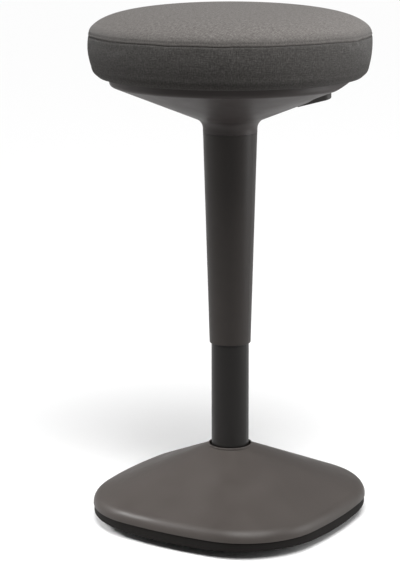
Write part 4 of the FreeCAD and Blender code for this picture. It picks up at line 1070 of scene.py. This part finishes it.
@dataclass(frozen=True)
class Softbox:
    """A soft rectangular lamp: where it hangs, what it faces, its size and its power."""

    name: str
    place: Place
    aim: Place
    size: Tuple[float, float]
    watts: float
    spread: float = 180.0

    def light(self) -> bpy.types.Light:
        """Makes the lamp's light.

        Returns:
            The light, not yet hung.
        """
        data = bpy.data.lights.new(self.name, "AREA")
        data.spread = math.radians(self.spread)
        data.shape = "RECTANGLE"
        data.size, data.size_y = self.size
        data.energy = self.watts
        return data


@dataclass
class Studio:
    """A plain white sweep of floor under soft lamps, with a white world behind it.

    The floor shows white to the camera and keeps the stool's shadow. It throws back only a
    little light, and shows less than white in glossy pieces, so that the stool's sides stay
    as dark as in the photograph. Lengths are in metres, angles in degrees.
    """

    floor_radius: float = 60.0
    floor_segments: int = 96
    floor_colour: str = "#f6f6f6"
    bounce_colour: str = "#7c7a78"
    mirror_share: float = 0.72
    sky_level: float = 0.1
    mirror_level: float = 0.33
    key_level: float = 3.42
    key_spread: float = 36.0
    key_from: Place = (0.309, -0.354, 0.883)
    softboxes: Tuple[Softbox, ...] = (
        Softbox("right_strip", (2.2, 1.2, 1.0), (0.0, 0.0, 0.45), (1.3, 1.7), 33.0),
        Softbox("left_strip", (-1.7, -1.0, 0.95), (0.0, 0.0, 0.15), (0.7, 1.2), 4.0),
        Softbox("foot_spot", (-1.1, -0.75, 1.05), (-0.05, -0.03, 0.04), (0.35, 0.35), 0.8, 34.0),
    )

    def floor(self) -> None:
        """Builds the floor and its paper."""
        mesh = bmesh.new()
        bmesh.ops.create_circle(mesh, cap_ends=True, segments=self.floor_segments,
                                radius=self.floor_radius)
        floor = finished_object("studio_floor", mesh, smooth=False)
        material, tree = new_material("white_paper_sweep")
        rays = add_node(tree, "ShaderNodeLightPath")
        mirrored = add_node(tree, "ShaderNodeMath",
                            {"operation": "MULTIPLY", 1: self.mirror_share},
                            {0: rays.outputs["Is Glossy Ray"]})
        seen = add_node(tree, "ShaderNodeMath", {"operation": "MAXIMUM"},
                        {0: rays.outputs["Is Camera Ray"], 1: mirrored.outputs[0]}).outputs[0]
        shade = add_node(tree, "ShaderNodeMix",
                         {"data_type": "RGBA", 6: linear(self.bounce_colour),
                          7: linear(self.floor_colour)}, {"Factor": seen})
        paper = add_node(tree, "ShaderNodeBsdfDiffuse", {}, {"Color": shade.outputs[2]})
        finish_surface(tree, paper)
        floor.data.materials.append(material)

    def world(self) -> None:
        """Sets a white world that shows white to the camera and lights softly."""
        world = bpy.data.worlds.new("studio_white")
        world.use_nodes = True
        bpy.context.scene.world = world
        tree = world.node_tree
        tree.nodes.clear()
        rays = add_node(tree, "ShaderNodeLightPath")
        mirror = add_node(tree, "ShaderNodeMath", {"operation": "MAXIMUM"},
                          {0: rays.outputs["Is Glossy Ray"], 1: rays.outputs["Is Transmission Ray"]})
        dim = add_node(tree, "ShaderNodeMapRange",
                       {"To Min": self.sky_level, "To Max": self.mirror_level},
                       {"Value": mirror.outputs[0]})
        seen = add_node(tree, "ShaderNodeMath", {"operation": "MAXIMUM"},
                        {0: dim.outputs["Result"], 1: rays.outputs["Is Camera Ray"]})
        sky = add_node(tree, "ShaderNodeBackground", {"Color": linear("#ffffff")},
                       {"Strength": seen.outputs[0]})
        add_node(tree, "ShaderNodeOutputWorld", {}, {"Surface": sky.outputs[0]})

    def hang(self, data: bpy.types.Light, place: Place, aim: Place) -> None:
        """Hangs a lamp and turns it to what it lights.

        Args:
            data: the lamp's settings.
            place: where it hangs, in metres.
            aim: the point that it faces.
        """
        lamp = bpy.data.objects.new(data.name, data)
        lamp.location = place
        lamp.rotation_euler = (Vector(aim) - Vector(place)).to_track_quat("-Z", "Y").to_euler()
        bpy.context.scene.collection.objects.link(lamp)

    def key(self) -> None:
        """Hangs the broad overhead key, even over the whole floor."""
        data = bpy.data.lights.new("overhead_key", "SUN")
        data.energy = self.key_level
        data.angle = math.radians(self.key_spread)
        self.hang(data, self.key_from, (0.0, 0.0, 0.0))

    def build(self) -> None:
        """Builds the floor, the world and the lamps."""
        self.floor()
        self.world()
        self.key()
        for softbox in self.softboxes:
            self.hang(softbox.light(), softbox.place, softbox.aim)


@dataclass
class PhotographCamera:
    """The camera at the photograph's place, worked out from the rings of the stool.

    Distances are in millimetres, angles in degrees and the image in pixels. The stool's
    axis stands at axis_column of the image, which the camera's shift puts right.
    """

    distance: float = 2397.3
    height: float = 855.24
    pitch: float = 12.81
    turn: float = 31.18
    focal_pixels: float = 1856.37
    image_height: int = 581
    image_width: int = 400
    axis_column: float = 230.15
    sensor_mm: float = 36.0
    sight: float = 200000.0

    def build(self) -> None:
        """Makes the camera, and makes it the scene's own."""
        data = bpy.data.cameras.new("photograph_camera")
        data.sensor_width = self.sensor_mm
        data.sensor_fit = "AUTO"
        data.lens = self.focal_pixels * self.sensor_mm / self.image_height
        data.shift_x = (self.image_width / 2 - self.axis_column) / self.image_height
        data.clip_end = self.sight * MM
        camera = bpy.data.objects.new("photograph_camera", data)
        bearing = math.radians(self.turn)
        camera.location = (self.distance * math.sin(bearing) * MM,
                           -self.distance * math.cos(bearing) * MM,
                           self.height * MM)
        camera.rotation_euler = (math.radians(90 - self.pitch), 0.0, bearing)
        bpy.context.scene.collection.objects.link(camera)
        bpy.context.scene.camera = camera


def main() -> None:
    """Builds the stool's looks in order."""
    logging.basicConfig(level=logging.INFO, format="%(name)s: %(message)s")
    scene = bpy.context.scene
    scene.view_settings.view_transform = "Standard"
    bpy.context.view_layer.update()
    wardrobe = Wardrobe()
    PhotographCamera().build()
    Studio().build()
    RigidPieces(wardrobe).build()
    cushion = SeatCushion(wardrobe)
    cushion.build()
    for item in cushion.pieces:
        log.info("%s: %d faces", item.name, len(item.data.polygons))


if __name__ == "__main__":
    main()
